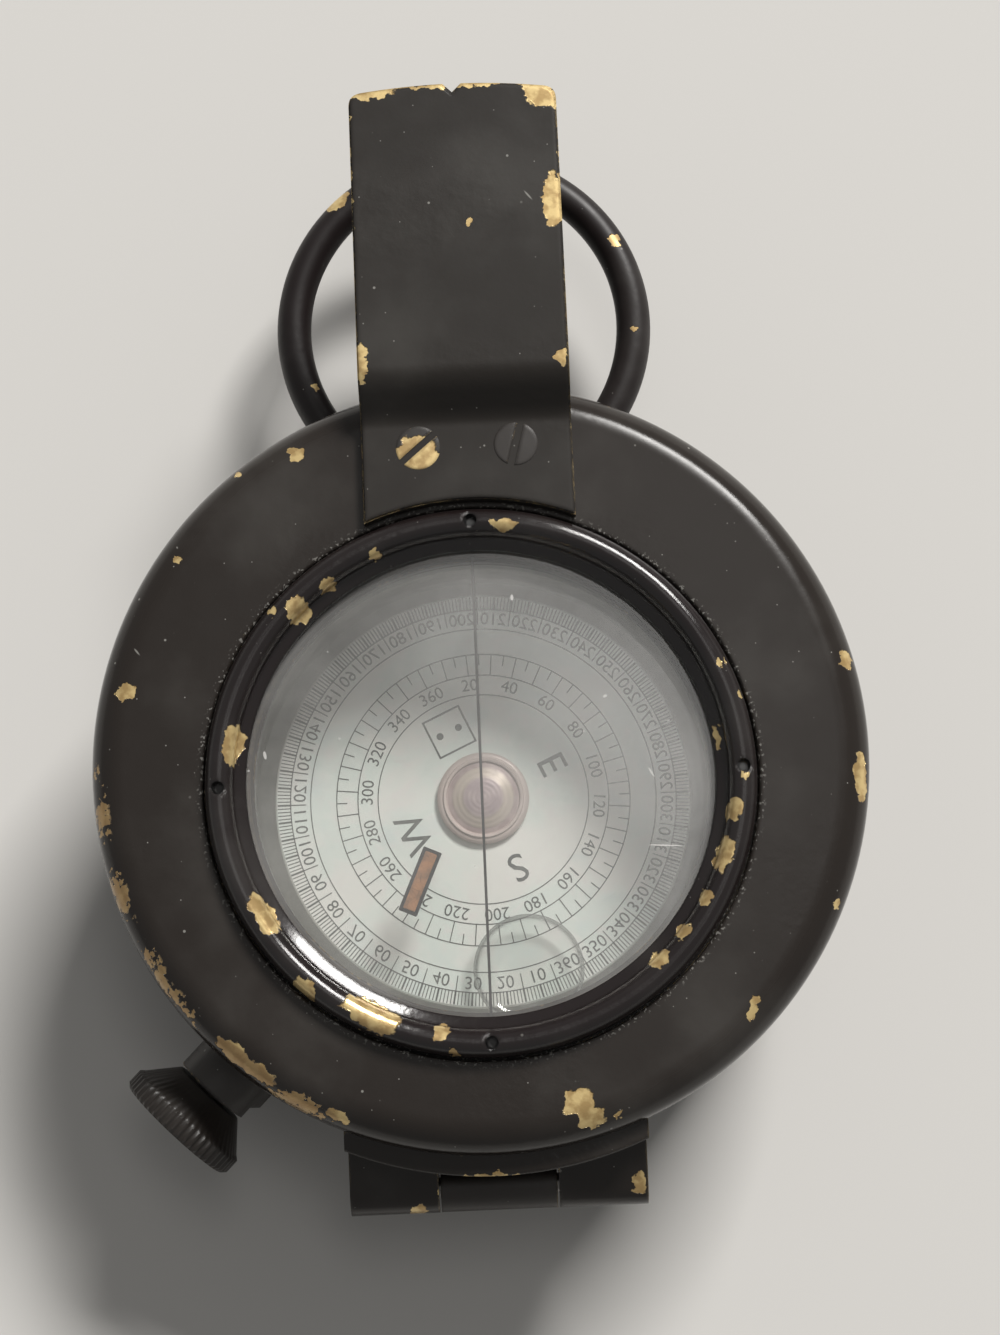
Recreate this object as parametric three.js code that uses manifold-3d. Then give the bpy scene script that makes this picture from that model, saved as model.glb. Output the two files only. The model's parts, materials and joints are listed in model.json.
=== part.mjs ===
// A liquid-filled prismatic marching compass with a hinged lid, a sighting tongue, a turning bezel,
// a folding reading prism, a sling ring and a thumb screw that clamps the bezel.
// Millimetres, +Z up. The origin is on the flat base, under the pivot of the card.
// +Y points along the tongue.

import * as THREE from 'three';
import { mergeVertices } from 'three/addons/utils/BufferGeometryUtils.js';
import Module from 'manifold-3d';

const wasm = await Module();
wasm.setup();

// Fits
const SEAT_GAP = 0.05; // flat faces that rest on each other
const RUNNING_GAP = 0.3; // pieces that turn past each other, and curved faces that lie side by side
const PIN_PLAY = 0.15; // radial play of a pin or shank in its bore

// Facets of the round pieces
const OUTER_SIDES = 48;
const HIDDEN_SIDES = 36;
const INNER_SIDES = 24;
const MILLED_SIDES = 60;
const SMALL_SIDES = 14;
const TINY_SIDES = 12;

// Drawing aids, not sizes of the object
const OVERCUT = 1; // a cutting shape reaches this far past the face it cuts
const ROOT_OVERLAP = 2; // a bracket is drawn this far into the case before its room is cut away
const MERGE_DISTANCE = 1e-4; // corners closer than this are one corner

// Card, its cap and its needle
const CARD_RADIUS = 17.6;
const CARD_THICKNESS = 0.6;
const CARD_HEADING = 24.5; // degrees from +Y to the north of the card, counter-clockwise
const CAP_RADIUS = 3.9;
const CAP_HEIGHT = 1.1;
const CAP_HEADROOM = 0.75; // cap to the glass above it
const CAP_RIM_HEIGHT = 0.5;
const CAP_RIDGE_HEIGHT = 0.7;
const CAP_LAND = 0.55; // rim of the cap to its turned ridge
const CAP_GROOVE = 0.3; // ridge to the bottom of the groove
const CAP_SHOULDER = 0.6; // groove to the shoulder of the crown
const CAP_TOP_RADIUS = 1.4;
const STEM_RADIUS = 2.2;
const STEM_LENGTH = 1.5;
const JEWEL_RADIUS = 1.25;
const JEWEL_HEIGHT = 1.2;
const JEWEL_RISE = 0.45; // jewel above the seat of the cap
const JEWEL_CUP_RADIUS = 0.8;
const JEWEL_CUP_DEPTH = 0.7;
const CARD_NUT_RADIUS = 3.1;
const CARD_NUT_HEIGHT = 0.7;
const MAGNET_LENGTH = 22;
const MAGNET_WIDTH = 2;
const MAGNET_HEIGHT = 1.8;
const MAGNET_CLEAR = 0.25; // card nut to magnet
const PIVOT_RADIUS = 0.7;
const PIVOT_FLANGE_RADIUS = 2.4;
const PIVOT_FLANGE_HEIGHT = 1;
const PIVOT_TIP_PLAY = 0.1;
const PIVOT_TIP_LENGTH = 1.6;

// Liquid bowl
const CARD_EDGE_GAP = 2; // card edge to bowl wall
const GASKET_LEDGE = 2;
const BOWL_WALL = 3.6;
const BOWL_FLOOR = 1.4;
const LIQUID_DEPTH = 6.1;
const GASKET_THICKNESS = 0.4;
const GLASS_THICKNESS = 1.4;
const LOCK_RING_HEIGHT = 0.8;
const LOCK_RING_WIDTH = 1.6;
const DIAPHRAGM_RADIUS = 17.4;
const DIAPHRAGM_THICKNESS = 0.3;
const DIAPHRAGM_WAVE = 0.25; // height of its corrugations
const DIAPHRAGM_WAVES = 3;
const DIAPHRAGM_LEDGE = 1.6;
const DIAPHRAGM_ROOM = 0.9; // free space between diaphragm and bowl floor
const DIAPHRAGM_RING_HEIGHT = 0.7;
const LIQUID_PORT_RADIUS = 0.9;
const LIQUID_PORT_CIRCLE = 13;
const LIQUID_PORTS = 3;
const PLUG_RADIUS = 1.2;
const PLUG_HEAD_RADIUS = 2;
const PLUG_HEAD_HEIGHT = 0.5;
const PLUG_CIRCLE = 7;

// Case and base
const COVER_THICKNESS = 1.6;
const CASE_FLOOR = 1.6;
const CASE_WALL_TOP = 10.8;
const NECK_WALL = 1.8;
const FOOT_WIDTH = 4.4; // case metal outside the rubber ring
const FOOT_CHAMFER = 0.4;
const SHOULDER_CHAMFER = 0.8;
const RUBBER_WIDTH = 4.4;
const BASE_SCREWS = 3;
const BASE_SCREW_CIRCLE = 14;
const BASE_SCREW_HEAD_RADIUS = 1.9;
const BASE_SCREW_RADIUS = 0.9;
const BASE_SCREW_GRIP = 1.2; // thread length in the case floor
const BASE_SCREW_SLOT_STEP = 55; // degrees from one slot to the next

// Turning bezel
const BEZEL_WALL = 1.9;
const BEZEL_OVERHANG = 0.3; // bezel beyond the case wall
const BEZEL_LEDGE_WIDTH = 2.5;
const BEZEL_LEDGE_HEIGHT = 1.2;
const BEZEL_GLASS_WALL = 4.3; // bezel metal outside its glass
const BEZEL_CHAMFER = 0.3;
const CLAMP_BAND = 3.8; // plain band that the clamp pad meets
const MILLING_DEPTH = 0.35;
const TOOTH_DEPTH = 0.3;
const SNAP_RING_HEIGHT = 0.6;
const SNAP_RING_WIDTH = 1;
const WIRE_RADIUS = 0.3;
const WIRE_HEIGHT = 2.1; // wire above the lower edge of the bezel
const WIRE_SIDES = 6;
const MARK_LENGTH = 5.6;
const MARK_WIDTH = 1.6;
const MARK_THICKNESS = 0.3;
const MARK_CENTRE = [-5.4, -7.25]; // middle of the luminous mark
const MARK_ANGLE = 246; // degrees from +X, not quite radial

// Lid and window
const LID_OVERHANG = 1.8; // lid beyond the bezel
const LID_OFFSET = 1.9; // lid centre towards the tongue
const LID_LIFT = 0.6; // lid skirt above the bezel
const LID_HEIGHT = 4.6;
const LID_PLATE = 1.5;
const LID_WALL = 1.6;
const LID_ROUND = 2.9; // rounded upper edge
const LID_ROUND_STEPS = 5;
const WINDOW_RADIUS = 18.7;
const WINDOW_RING_WIDTH = 3.2;
const WINDOW_RING_HEIGHT = 2.75;
const WINDOW_RING_SINK = 1; // ring below the face of the lid
const WINDOW_RING_CROWN = 1.5;
const WINDOW_RING_STEPS = 6;
const WINDOW_RING_PLAY = 0.2;
const WINDOW_GLASS_LAP = 1.3; // ring over the edge of the glass
const WINDOW_LEDGE_LAP = 0.4; // ledge inside the sight of the ring
const WINDOW_LEDGE_HEIGHT = 1;
const WINDOW_BOSS_WALL = 1.3;
const WINDOW_GASKET_THICKNESS = 0.35;
const HAIRLINE_WIDTH = 0.25;
const HAIRLINE_DEPTH = 0.15;
const SPANNER_HOLES = 4;
const SPANNER_HOLE_RADIUS = 0.45;
const SPANNER_HOLE_DEPTH = 1.2;
const SPOT_RADIUS = 1.3;
const SPOT_THICKNESS = 0.5;

// Sighting tongue
const TONGUE_THICKNESS = 1.1;
const TONGUE_RISE = 2.6;
const TONGUE_REACH = 57; // tip from the card axis
const TONGUE_TIP_ARC = 57; // radius of the tip edge
const TONGUE_ROOT_WIDTH = 17.1;
const TONGUE_TIP_WIDTH = 17;
const TONGUE_CORNER = 1;
const TONGUE_ROOT_GAP = 0.7; // tongue to window ring
const TONGUE_FOOT = 7; // flat foot from the root to the ramp
const TONGUE_RAMP_RUN = 2.8;
const TONGUE_BEND = 0.9; // straight length that each bend takes up
const TONGUE_BEND_STEPS = 5;
const NOTCH_WIDTH = 1.5;
const NOTCH_DEPTH = 0.75;
const TONGUE_SCREW_X = 3.95;
const TONGUE_SCREW_INSET = 4.4; // screw from the root of the tongue
const TONGUE_SCREW_HEAD_RADIUS = 1.95;
const TONGUE_SCREW_RADIUS = 1;
const TONGUE_SCREW_GRIP = 1.2;
const TONGUE_SCREW_SLOTS = { left: 40, right: 75 }; // slot angles in degrees

// Screw heads
const SCREW_RIM = 0.2;
const SCREW_CONE = 0.6;
const SLOT_WIDTH = 0.5;
const SLOT_DEPTH = 0.35;

// Lid hinge
const HINGE_WIDTH = 24;
const HINGE_BARREL_RADIUS = 2;
const HINGE_PIN_RADIUS = 0.8;
const HINGE_CENTRE_WIDTH = 9.4;
const HINGE_LEAF_GAP = 0.4; // leaf to bezel
const HINGE_LEAF = 1.1;
const HINGE_LEAF_TOP = 1.45; // flange above the skirt edge
const HINGE_FLANGE_REACH = 3.4; // flange from the outer leaf face into the lid
const HINGE_WEB = 0.3; // web beyond the pin axis
const HINGE_BRACKET_BOTTOM = 5;
const HINGE_BRACKET_SLOPE = 4;
const OPEN_TONGUE_LIFT = 0.5; // tongue above the base plane with the lid laid open

// Front bracket and sling ring
const BRACKET_WIDTH = 14;
const RING_AXIS_HEIGHT = 9;
const RING_WIRE_RADIUS = 1.5;
const RING_RADIUS = 15; // centreline
const RING_OFFSET = 10; // ring centre beyond its axis
const RING_STUB = 2; // length of each end inside the bracket
const RING_LUG_WALL = 1.35;
const RING_STEPS = 32;
const RING_SIDES = 10;

// Folding prism
const FORK_WALL = 1.6; // metal between bezel and knuckle
const FORK_PLATE = 3;
const PRISM_KNUCKLE_RADIUS = 1.6;
const PRISM_KNUCKLE_WIDTH = 6;
const PRISM_PIN_RADIUS = 0.7;
const PRISM_LID_GAP = 0.55; // knuckle to lid skirt
const PRISM_FOLD_GAP = 0.55; // folded prism housing to bezel
const PRISM_LEG = 9.6;
const PRISM_WIDTH = 9.8;
const PRISM_WALL = 0.9;
const PRISM_FLOOR = 1.5; // housing wall with the reading window
const PRISM_REACH = 8.2; // hinge axis to prism face
const PRISM_ARM_WIDTH = 8;
const READING_WINDOW_LAP = 0.9;
const EYE_PLATE_THICKNESS = 0.8;
const EYE_PLATE_TAIL = 1.8; // plate beyond the housing
const EYE_HOLE_RADIUS = 1.8;
const EYE_SLIT_WIDTH = 0.6;
const EYE_SLIT_LENGTH = 1.4;
const EYE_SCREW_RADIUS = 0.25;
const EYE_SCREW_HEAD_RADIUS = 0.5;
const EYE_SCREW_LENGTH = 1.2;
const EYE_SCREW_HEAD = 0.3;

// Bezel clamp
const CLAMP_ANGLE = 225; // degrees from +X
const CLAMP_BOSS_RADIUS = 3.3;
const CLAMP_BOSS_LENGTH = 3.1;
const CLAMP_FOOT_BOTTOM = 5;
const CLAMP_FOOT_DEPTH = 2.7;
const CLAMP_SHANK_RADIUS = 1.5;
const CLAMP_PAD_RADIUS = 1.4;
const CLAMP_PAD_LENGTH = 1.4;
const CLAMP_PAD_GAP = 0.35; // pad to bezel with the screw slackened
const KNOB_SMALL_RADIUS = 3.3;
const KNOB_CONE_RADIUS = 5.1;
const KNOB_CONE_LENGTH = 2.2;
const KNOB_RIM_RADIUS = 5.45;
const KNOB_RIM_WIDTH = 1.8;
const KNOB_RIM_CHAMFER = 0.3;
const KNOB_DISH_RADIUS = 3.9;
const KNOB_DISH_DEPTH = 0.4;
const KNOB_TEETH = 26;
const KNURL_DEPTH = 0.25;

// Radii that follow from the card outwards
const cavityRadius = CARD_RADIUS + CARD_EDGE_GAP;
const seatRadius = cavityRadius + GASKET_LEDGE;
const bowlGlassRadius = seatRadius - RUNNING_GAP;
const bowlRadius = seatRadius + BOWL_WALL;
const boreRadius = bowlRadius + RUNNING_GAP;
const neckRadius = boreRadius + NECK_WALL;
const bezelBore = neckRadius + RUNNING_GAP;
const bezelRadius = bezelBore + BEZEL_WALL;
const caseRadius = bezelRadius - BEZEL_OVERHANG;
const recessRadius = caseRadius - FOOT_WIDTH;
const rubberOuter = recessRadius - RUNNING_GAP;
const rubberInner = rubberOuter - RUBBER_WIDTH;
const coverRadius = rubberInner - RUNNING_GAP;
const bezelSeat = bezelRadius - BEZEL_GLASS_WALL;
const bezelGlassRadius = bezelSeat - RUNNING_GAP;
const bezelLedge = bezelSeat - BEZEL_LEDGE_WIDTH;
const lidRadius = bezelRadius + LID_OVERHANG;
const windowRingOuter = WINDOW_RADIUS + WINDOW_RING_WIDTH;
const windowCounterbore = windowRingOuter + WINDOW_RING_PLAY;
const windowBoss = windowCounterbore + WINDOW_BOSS_WALL;
const lidGlassRadius = windowRingOuter - WINDOW_GLASS_LAP;
const lidGlassSeat = lidGlassRadius + RUNNING_GAP;
const lidBore = WINDOW_RADIUS - WINDOW_LEDGE_LAP;

// Levels that follow from the base upwards
const floorBottom = COVER_THICKNESS + SEAT_GAP;
const floorTop = floorBottom + CASE_FLOOR;
const bowlBottom = floorTop + SEAT_GAP;
const diaphragmRingBottom = bowlBottom + SEAT_GAP;
const diaphragmBottom = diaphragmRingBottom + DIAPHRAGM_RING_HEIGHT + SEAT_GAP;
const diaphragmTop = diaphragmBottom + DIAPHRAGM_THICKNESS;
const diaphragmSeat = diaphragmTop + SEAT_GAP;
const bowlFloorBottom = diaphragmSeat + DIAPHRAGM_ROOM;
const bowlFloorTop = bowlFloorBottom + BOWL_FLOOR;
const gasketSeat = bowlFloorTop + LIQUID_DEPTH;
const bowlGlassBottom = gasketSeat + GASKET_THICKNESS + 2 * SEAT_GAP;
const bowlGlassTop = bowlGlassBottom + GLASS_THICKNESS;
const lockRingBottom = bowlGlassTop + SEAT_GAP;
const neckTop = lockRingBottom + LOCK_RING_HEIGHT;
const bezelBottom = CASE_WALL_TOP + RUNNING_GAP;
const bandTop = bezelBottom + CLAMP_BAND;
const wireLevel = bezelBottom + WIRE_HEIGHT;
const ledgeBottom = neckTop + RUNNING_GAP;
const ledgeTop = ledgeBottom + BEZEL_LEDGE_HEIGHT;
const bezelGlassBottom = ledgeTop + SEAT_GAP;
const bezelGlassTop = bezelGlassBottom + GLASS_THICKNESS;
const snapRingBottom = bezelGlassTop + SEAT_GAP;
const bezelTop = snapRingBottom + SNAP_RING_HEIGHT;
const skirtBottom = bezelTop + LID_LIFT;
const lidTop = skirtBottom + LID_HEIGHT;
const plateBottom = lidTop - LID_PLATE;
const windowRingBottom = lidTop - WINDOW_RING_SINK;
const windowRingTop = windowRingBottom + WINDOW_RING_HEIGHT;
const lidGlassTop = windowRingBottom - SEAT_GAP;
const lidGlassBottom = lidGlassTop - GLASS_THICKNESS;
const windowGasketTop = lidGlassBottom - SEAT_GAP;
const windowGasketBottom = windowGasketTop - WINDOW_GASKET_THICKNESS;
const windowSeat = windowGasketBottom - SEAT_GAP;
const bossBottom = windowSeat - WINDOW_LEDGE_HEIGHT;
const tongueBase = lidTop + SEAT_GAP;
const tongueBaseTop = tongueBase + TONGUE_THICKNESS;
const tongueTop = tongueBaseTop + TONGUE_RISE;

// Levels of the card, from the bowl glass downwards
const capTop = bowlGlassBottom - CAP_HEADROOM;
const capSeat = capTop - CAP_HEIGHT;
const cardTop = capSeat - SEAT_GAP;
const cardBottom = cardTop - CARD_THICKNESS;
const stemBottom = capSeat - STEM_LENGTH;
const jewelTop = capSeat + JEWEL_RISE;
const jewelBottom = jewelTop - JEWEL_HEIGHT;
const pivotTip = jewelBottom + JEWEL_CUP_DEPTH - PIVOT_TIP_PLAY;

// Hinge axes
const leafInner = bezelRadius + HINGE_LEAF_GAP;
const leafOuter = leafInner + HINGE_LEAF;
const hingeY = -(leafInner + HINGE_BARREL_RADIUS);
const hingeZ = (tongueTop + OPEN_TONGUE_LIFT) / 2;
const ringBore = RING_WIRE_RADIUS + PIN_PLAY;
const ringY = caseRadius + RING_LUG_WALL + ringBore;
const prismY = bezelRadius + RUNNING_GAP + FORK_WALL + PRISM_KNUCKLE_RADIUS;
const prismZ = skirtBottom - PRISM_LID_GAP - PRISM_KNUCKLE_RADIUS;
const housingTop = 2 * prismZ - bezelTop - PRISM_FOLD_GAP;
const clampZ = bezelBottom + CLAMP_BAND / 2;

// Finishes
const BLACK_ENAMEL = { color: 0x3a3733, roughness: 0.45, metalness: 0.3 };
const GLOSS_ENAMEL = { color: 0x2d2626, roughness: 0.28, metalness: 0.3 };
const BRASS = { color: 0xb89a5a, roughness: 0.4, metalness: 0.9 };
const STEEL = { color: 0x8c8a86, roughness: 0.35, metalness: 0.95 };
const RUBBER = { color: 0x1d1c1b, roughness: 0.9, metalness: 0 };
const CORK = { color: 0x7a6a52, roughness: 0.9, metalness: 0 };
const CLEAR_GLASS = { color: 0xd8e4e2, roughness: 0.05, metalness: 0, transparent: true, opacity: 0.35 };
const PEARL = { color: 0xd2d8cc, roughness: 0.3, metalness: 0 };
const CAP_BRONZE = { color: 0xb08a7c, roughness: 0.35, metalness: 0.7 };
const JEWEL_STONE = { color: 0x8c2a35, roughness: 0.1, metalness: 0 };
const LUMINOUS = { color: 0xa8693c, roughness: 0.75, metalness: 0 };

// Only positions are kept, with shared corners merged and slivers on the axis dropped.
function closedGeometry(geometry) {
  const bare = geometry.index ? geometry.toNonIndexed() : geometry.clone();
  bare.deleteAttribute('normal');
  bare.deleteAttribute('uv');
  const merged = mergeVertices(bare, MERGE_DISTANCE);
  const corners = merged.index.array;
  const kept = [];
  for (let i = 0; i < corners.length; i += 3) {
    const [a, b, c] = [corners[i], corners[i + 1], corners[i + 2]];
    if (a !== b && b !== c && c !== a) kept.push(a, b, c);
  }
  merged.setIndex(kept);
  return merged;
}

function solid(geometry) {
  const closed = closedGeometry(geometry);
  return new wasm.Manifold(new wasm.Mesh({
    numProp: 3,
    vertProperties: new Float32Array(closed.attributes.position.array),
    triVerts: new Uint32Array(closed.index.array),
  }));
}

function join(first, ...others) {
  return others.reduce((whole, other) => whole.add(other), first);
}

function cut(first, ...others) {
  return others.reduce((whole, other) => whole.subtract(other), first);
}

function geometryOf(manifold) {
  const mesh = manifold.getMesh();
  const geometry = new THREE.BufferGeometry();
  geometry.setAttribute('position', new THREE.BufferAttribute(new Float32Array(mesh.vertProperties), 3));
  geometry.setIndex(new THREE.BufferAttribute(new Uint32Array(mesh.triVerts), 1));
  return geometry;
}

function piece(name, shape, finish) {
  const geometry = shape.isBufferGeometry ? closedGeometry(shape) : geometryOf(shape);
  geometry.computeVertexNormals();
  const mesh = new THREE.Mesh(geometry, new THREE.MeshStandardMaterial(finish));
  mesh.name = name;
  return mesh;
}

// A profile of [radius, height] points turned about Z. It starts and ends on the axis.
function turned(profile, sides = INNER_SIDES) {
  const points = profile.map(([radius, height]) => new THREE.Vector2(radius, height));
  return new THREE.LatheGeometry(points, sides).rotateX(Math.PI / 2);
}

function turnedRing(profile, sides = INNER_SIDES) {
  return turned([...profile, profile[0]], sides);
}

// Straight teeth: every second column of points at or beyond the given radius is drawn in.
function milledRing(profile, sides, radius, depth) {
  const closed = [...profile, profile[0]];
  const geometry = turned(closed, sides);
  const position = geometry.attributes.position;
  for (let i = 0; i < position.count; i += 1) {
    const column = Math.floor(i / closed.length);
    const [pointRadius, , milled] = closed[i % closed.length];
    if (milled && column % 2 === 1) {
      const share = (radius - depth) / radius;
      const x = position.getX(i) * share * (radius / pointRadius);
      const y = position.getY(i) * share * (radius / pointRadius);
      position.setXY(i, x, y);
    }
  }
  return geometry;
}

function disc(radius, bottom, top, sides = INNER_SIDES) {
  return turned([[0, bottom], [radius, bottom], [radius, top], [0, top]], sides);
}

function washer(inner, outer, bottom, top, sides = INNER_SIDES) {
  return turnedRing([[inner, bottom], [outer, bottom], [outer, top], [inner, top]], sides);
}

function block(xRange, yRange, zRange) {
  const [x0, x1] = xRange;
  const [y0, y1] = yRange;
  const [z0, z1] = zRange;
  const box = new THREE.BoxGeometry(x1 - x0, y1 - y0, z1 - z0);
  return box.translate((x0 + x1) / 2, (y0 + y1) / 2, (z0 + z1) / 2);
}

// A cylinder along X between two X values, about an axis at (y, z).
function rodX(radius, xRange, y, z, sides = SMALL_SIDES) {
  const [x0, x1] = xRange;
  const rod = new THREE.CylinderGeometry(radius, radius, x1 - x0, sides).rotateZ(Math.PI / 2);
  return rod.translate((x0 + x1) / 2, y, z);
}

// A solid turned about X instead of Z: heights become X, radii lie around an axis at (y, z).
function turnedX(profile, y, z, sides = SMALL_SIDES) {
  return turned(profile, sides).rotateY(Math.PI / 2).translate(0, y, z);
}

// A plate whose outline lies in the YZ plane, as wide as the given X range.
function sidePlate(outline, xRange) {
  const shape = new THREE.Shape(outline.map(([y, z]) => new THREE.Vector2(y, z)));
  const [x0, x1] = xRange;
  const plate = new THREE.ExtrudeGeometry(shape, { depth: x1 - x0, bevelEnabled: false });
  const intoPlace = new THREE.Matrix4().set(0, 0, 1, x0, 1, 0, 0, 0, 0, 1, 0, 0, 0, 0, 0, 1);
  return plate.applyMatrix4(intoPlace);
}

// Points on a quarter arc or other arc in a profile, from one angle to another in degrees.
function arcPoints(radius, centre, from, to, steps) {
  const [centreR, centreZ] = centre;
  return Array.from({ length: steps + 1 }, (unused, i) => {
    const angle = THREE.MathUtils.degToRad(from + ((to - from) * i) / steps);
    return [centreR + radius * Math.cos(angle), centreZ + radius * Math.sin(angle)];
  });
}

function around(circle, count, index, startDegrees = 90) {
  const angle = THREE.MathUtils.degToRad(startDegrees + (360 * index) / count);
  return [circle * Math.cos(angle), circle * Math.sin(angle)];
}

// A slotted countersunk screw with the top of its head at z = 0 and its shank downwards.
function countersunkScrew(headRadius, shankRadius, length, slotDegrees) {
  const body = solid(turned([
    [0, -length],
    [shankRadius, -length],
    [shankRadius, -SCREW_RIM - SCREW_CONE],
    [headRadius, -SCREW_RIM],
    [headRadius, 0],
    [0, 0],
  ], SMALL_SIDES));
  const slot = block(
    [-2 * headRadius, 2 * headRadius],
    [-SLOT_WIDTH / 2, SLOT_WIDTH / 2],
    [-SLOT_DEPTH, SLOT_DEPTH],
  ).rotateZ(THREE.MathUtils.degToRad(slotDegrees));
  return cut(body, solid(slot));
}

// The hole that takes such a screw, with play all round.
function countersunkHole(headRadius, shankRadius, length) {
  return turned([
    [0, -length],
    [shankRadius + PIN_PLAY, -length],
    [shankRadius + PIN_PLAY, -SCREW_RIM - SCREW_CONE - PIN_PLAY],
    [headRadius + PIN_PLAY, -SCREW_RIM - PIN_PLAY],
    [headRadius + PIN_PLAY, SCREW_RIM],
    [0, SCREW_RIM],
  ], SMALL_SIDES);
}

// Case body, base cover and foot
const baseScrewLength = floorBottom + BASE_SCREW_GRIP;

function baseScrewPlace(index) {
  const [x, y] = around(BASE_SCREW_CIRCLE, BASE_SCREWS, index);
  return new THREE.Matrix4().makeRotationX(Math.PI).setPosition(x, y, 0);
}

function baseScrewHoles() {
  const length = floorTop + RUNNING_GAP;
  return Array.from({ length: BASE_SCREWS }, (unused, i) => {
    const hole = countersunkHole(BASE_SCREW_HEAD_RADIUS, BASE_SCREW_RADIUS, length);
    return solid(hole.applyMatrix4(baseScrewPlace(i)));
  });
}

function caseBody() {
  const grooveHalf = WIRE_RADIUS + PIN_PLAY;
  const grooveInner = neckRadius - grooveHalf;
  const shell = solid(turned([
    [0, floorBottom],
    [recessRadius, floorBottom],
    [recessRadius, 0],
    [caseRadius - FOOT_CHAMFER, 0],
    [caseRadius, FOOT_CHAMFER],
    [caseRadius, CASE_WALL_TOP - SHOULDER_CHAMFER],
    [caseRadius - SHOULDER_CHAMFER, CASE_WALL_TOP],
    [neckRadius, CASE_WALL_TOP],
    [neckRadius, wireLevel - grooveHalf],
    [grooveInner, wireLevel - grooveHalf],
    [grooveInner, wireLevel + grooveHalf],
    [neckRadius, wireLevel + grooveHalf],
    [neckRadius, neckTop],
    [boreRadius, neckTop],
    [boreRadius, floorTop],
    [0, floorTop],
  ], OUTER_SIDES));
  return cut(shell, ...baseScrewHoles());
}

function baseCover() {
  return cut(solid(disc(coverRadius, 0, COVER_THICKNESS, OUTER_SIDES)), ...baseScrewHoles());
}

function baseScrew(index) {
  const slot = BASE_SCREW_SLOT_STEP * index;
  const screw = countersunkScrew(BASE_SCREW_HEAD_RADIUS, BASE_SCREW_RADIUS, baseScrewLength, slot);
  return geometryOf(screw).applyMatrix4(baseScrewPlace(index));
}

function rubberRing() {
  return washer(rubberInner, rubberOuter, 0, floorBottom - SEAT_GAP, OUTER_SIDES);
}

// Liquid bowl with its diaphragm, glass and pivot
const diaphragmBore = DIAPHRAGM_RADIUS + RUNNING_GAP;
const plugLength = bowlFloorTop - bowlFloorBottom + SEAT_GAP;

function bowl() {
  const cup = solid(turned([
    [0, bowlFloorBottom],
    [diaphragmBore - DIAPHRAGM_LEDGE, bowlFloorBottom],
    [diaphragmBore - DIAPHRAGM_LEDGE, diaphragmSeat],
    [diaphragmBore, diaphragmSeat],
    [diaphragmBore, bowlBottom],
    [bowlRadius, bowlBottom],
    [bowlRadius, neckTop],
    [seatRadius, neckTop],
    [seatRadius, gasketSeat],
    [cavityRadius, gasketSeat],
    [cavityRadius, bowlFloorTop],
    [0, bowlFloorTop],
  ], HIDDEN_SIDES));
  const through = [bowlFloorBottom - RUNNING_GAP, bowlFloorTop + RUNNING_GAP];
  const ports = Array.from({ length: LIQUID_PORTS }, (unused, i) => {
    const [x, y] = around(LIQUID_PORT_CIRCLE, LIQUID_PORTS, i, 30);
    return solid(disc(LIQUID_PORT_RADIUS, ...through, SMALL_SIDES).translate(x, y, 0));
  });
  const plugHole = disc(PLUG_RADIUS + PIN_PLAY, ...through, SMALL_SIDES).translate(PLUG_CIRCLE, 0, 0);
  const pivotHole = disc(PIVOT_RADIUS + PIN_PLAY, ...through, SMALL_SIDES);
  return cut(cup, ...ports, solid(plugHole), solid(pivotHole));
}

// A thin dished sheet whose rings rise and fall, flat at its rim.
function diaphragm() {
  const flatRim = diaphragmBore - 2 * DIAPHRAGM_LEDGE;
  const rings = 2 * DIAPHRAGM_WAVES;
  const under = Array.from({ length: rings }, (unused, i) => {
    const lift = i % 2 === 0 ? DIAPHRAGM_WAVE : 0;
    return [(flatRim * i) / rings, diaphragmBottom + lift];
  });
  const rim = [[flatRim, diaphragmBottom], [DIAPHRAGM_RADIUS, diaphragmBottom]];
  const lower = [...under, ...rim];
  const upper = lower.map(([radius, height]) => [radius, height + DIAPHRAGM_THICKNESS]).reverse();
  return turned([...lower, ...upper], INNER_SIDES);
}

function diaphragmRing() {
  const inner = diaphragmBore - DIAPHRAGM_LEDGE;
  return washer(inner, DIAPHRAGM_RADIUS, diaphragmRingBottom, diaphragmRingBottom + DIAPHRAGM_RING_HEIGHT);
}

function fillerPlug() {
  const headTop = bowlFloorBottom - SEAT_GAP;
  return turned([
    [0, headTop - PLUG_HEAD_HEIGHT],
    [PLUG_HEAD_RADIUS, headTop - PLUG_HEAD_HEIGHT],
    [PLUG_HEAD_RADIUS, headTop],
    [PLUG_RADIUS, headTop],
    [PLUG_RADIUS, headTop + plugLength],
    [0, headTop + plugLength],
  ], SMALL_SIDES).translate(PLUG_CIRCLE, 0, 0);
}

function pivotPost() {
  const flangeBottom = bowlFloorTop + SEAT_GAP;
  return turned([
    [0, bowlFloorBottom],
    [PIVOT_RADIUS, bowlFloorBottom],
    [PIVOT_RADIUS, flangeBottom],
    [PIVOT_FLANGE_RADIUS, flangeBottom],
    [PIVOT_FLANGE_RADIUS, flangeBottom + PIVOT_FLANGE_HEIGHT],
    [PIVOT_RADIUS, flangeBottom + PIVOT_FLANGE_HEIGHT],
    [PIVOT_RADIUS, pivotTip - PIVOT_TIP_LENGTH],
    [0, pivotTip],
  ], SMALL_SIDES);
}

function bowlGasket() {
  const bottom = gasketSeat + SEAT_GAP;
  return washer(cavityRadius + RUNNING_GAP, bowlGlassRadius, bottom, bottom + GASKET_THICKNESS);
}

function bowlLockRing() {
  return washer(bowlGlassRadius - LOCK_RING_WIDTH, bowlGlassRadius, lockRingBottom, neckTop);
}

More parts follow.
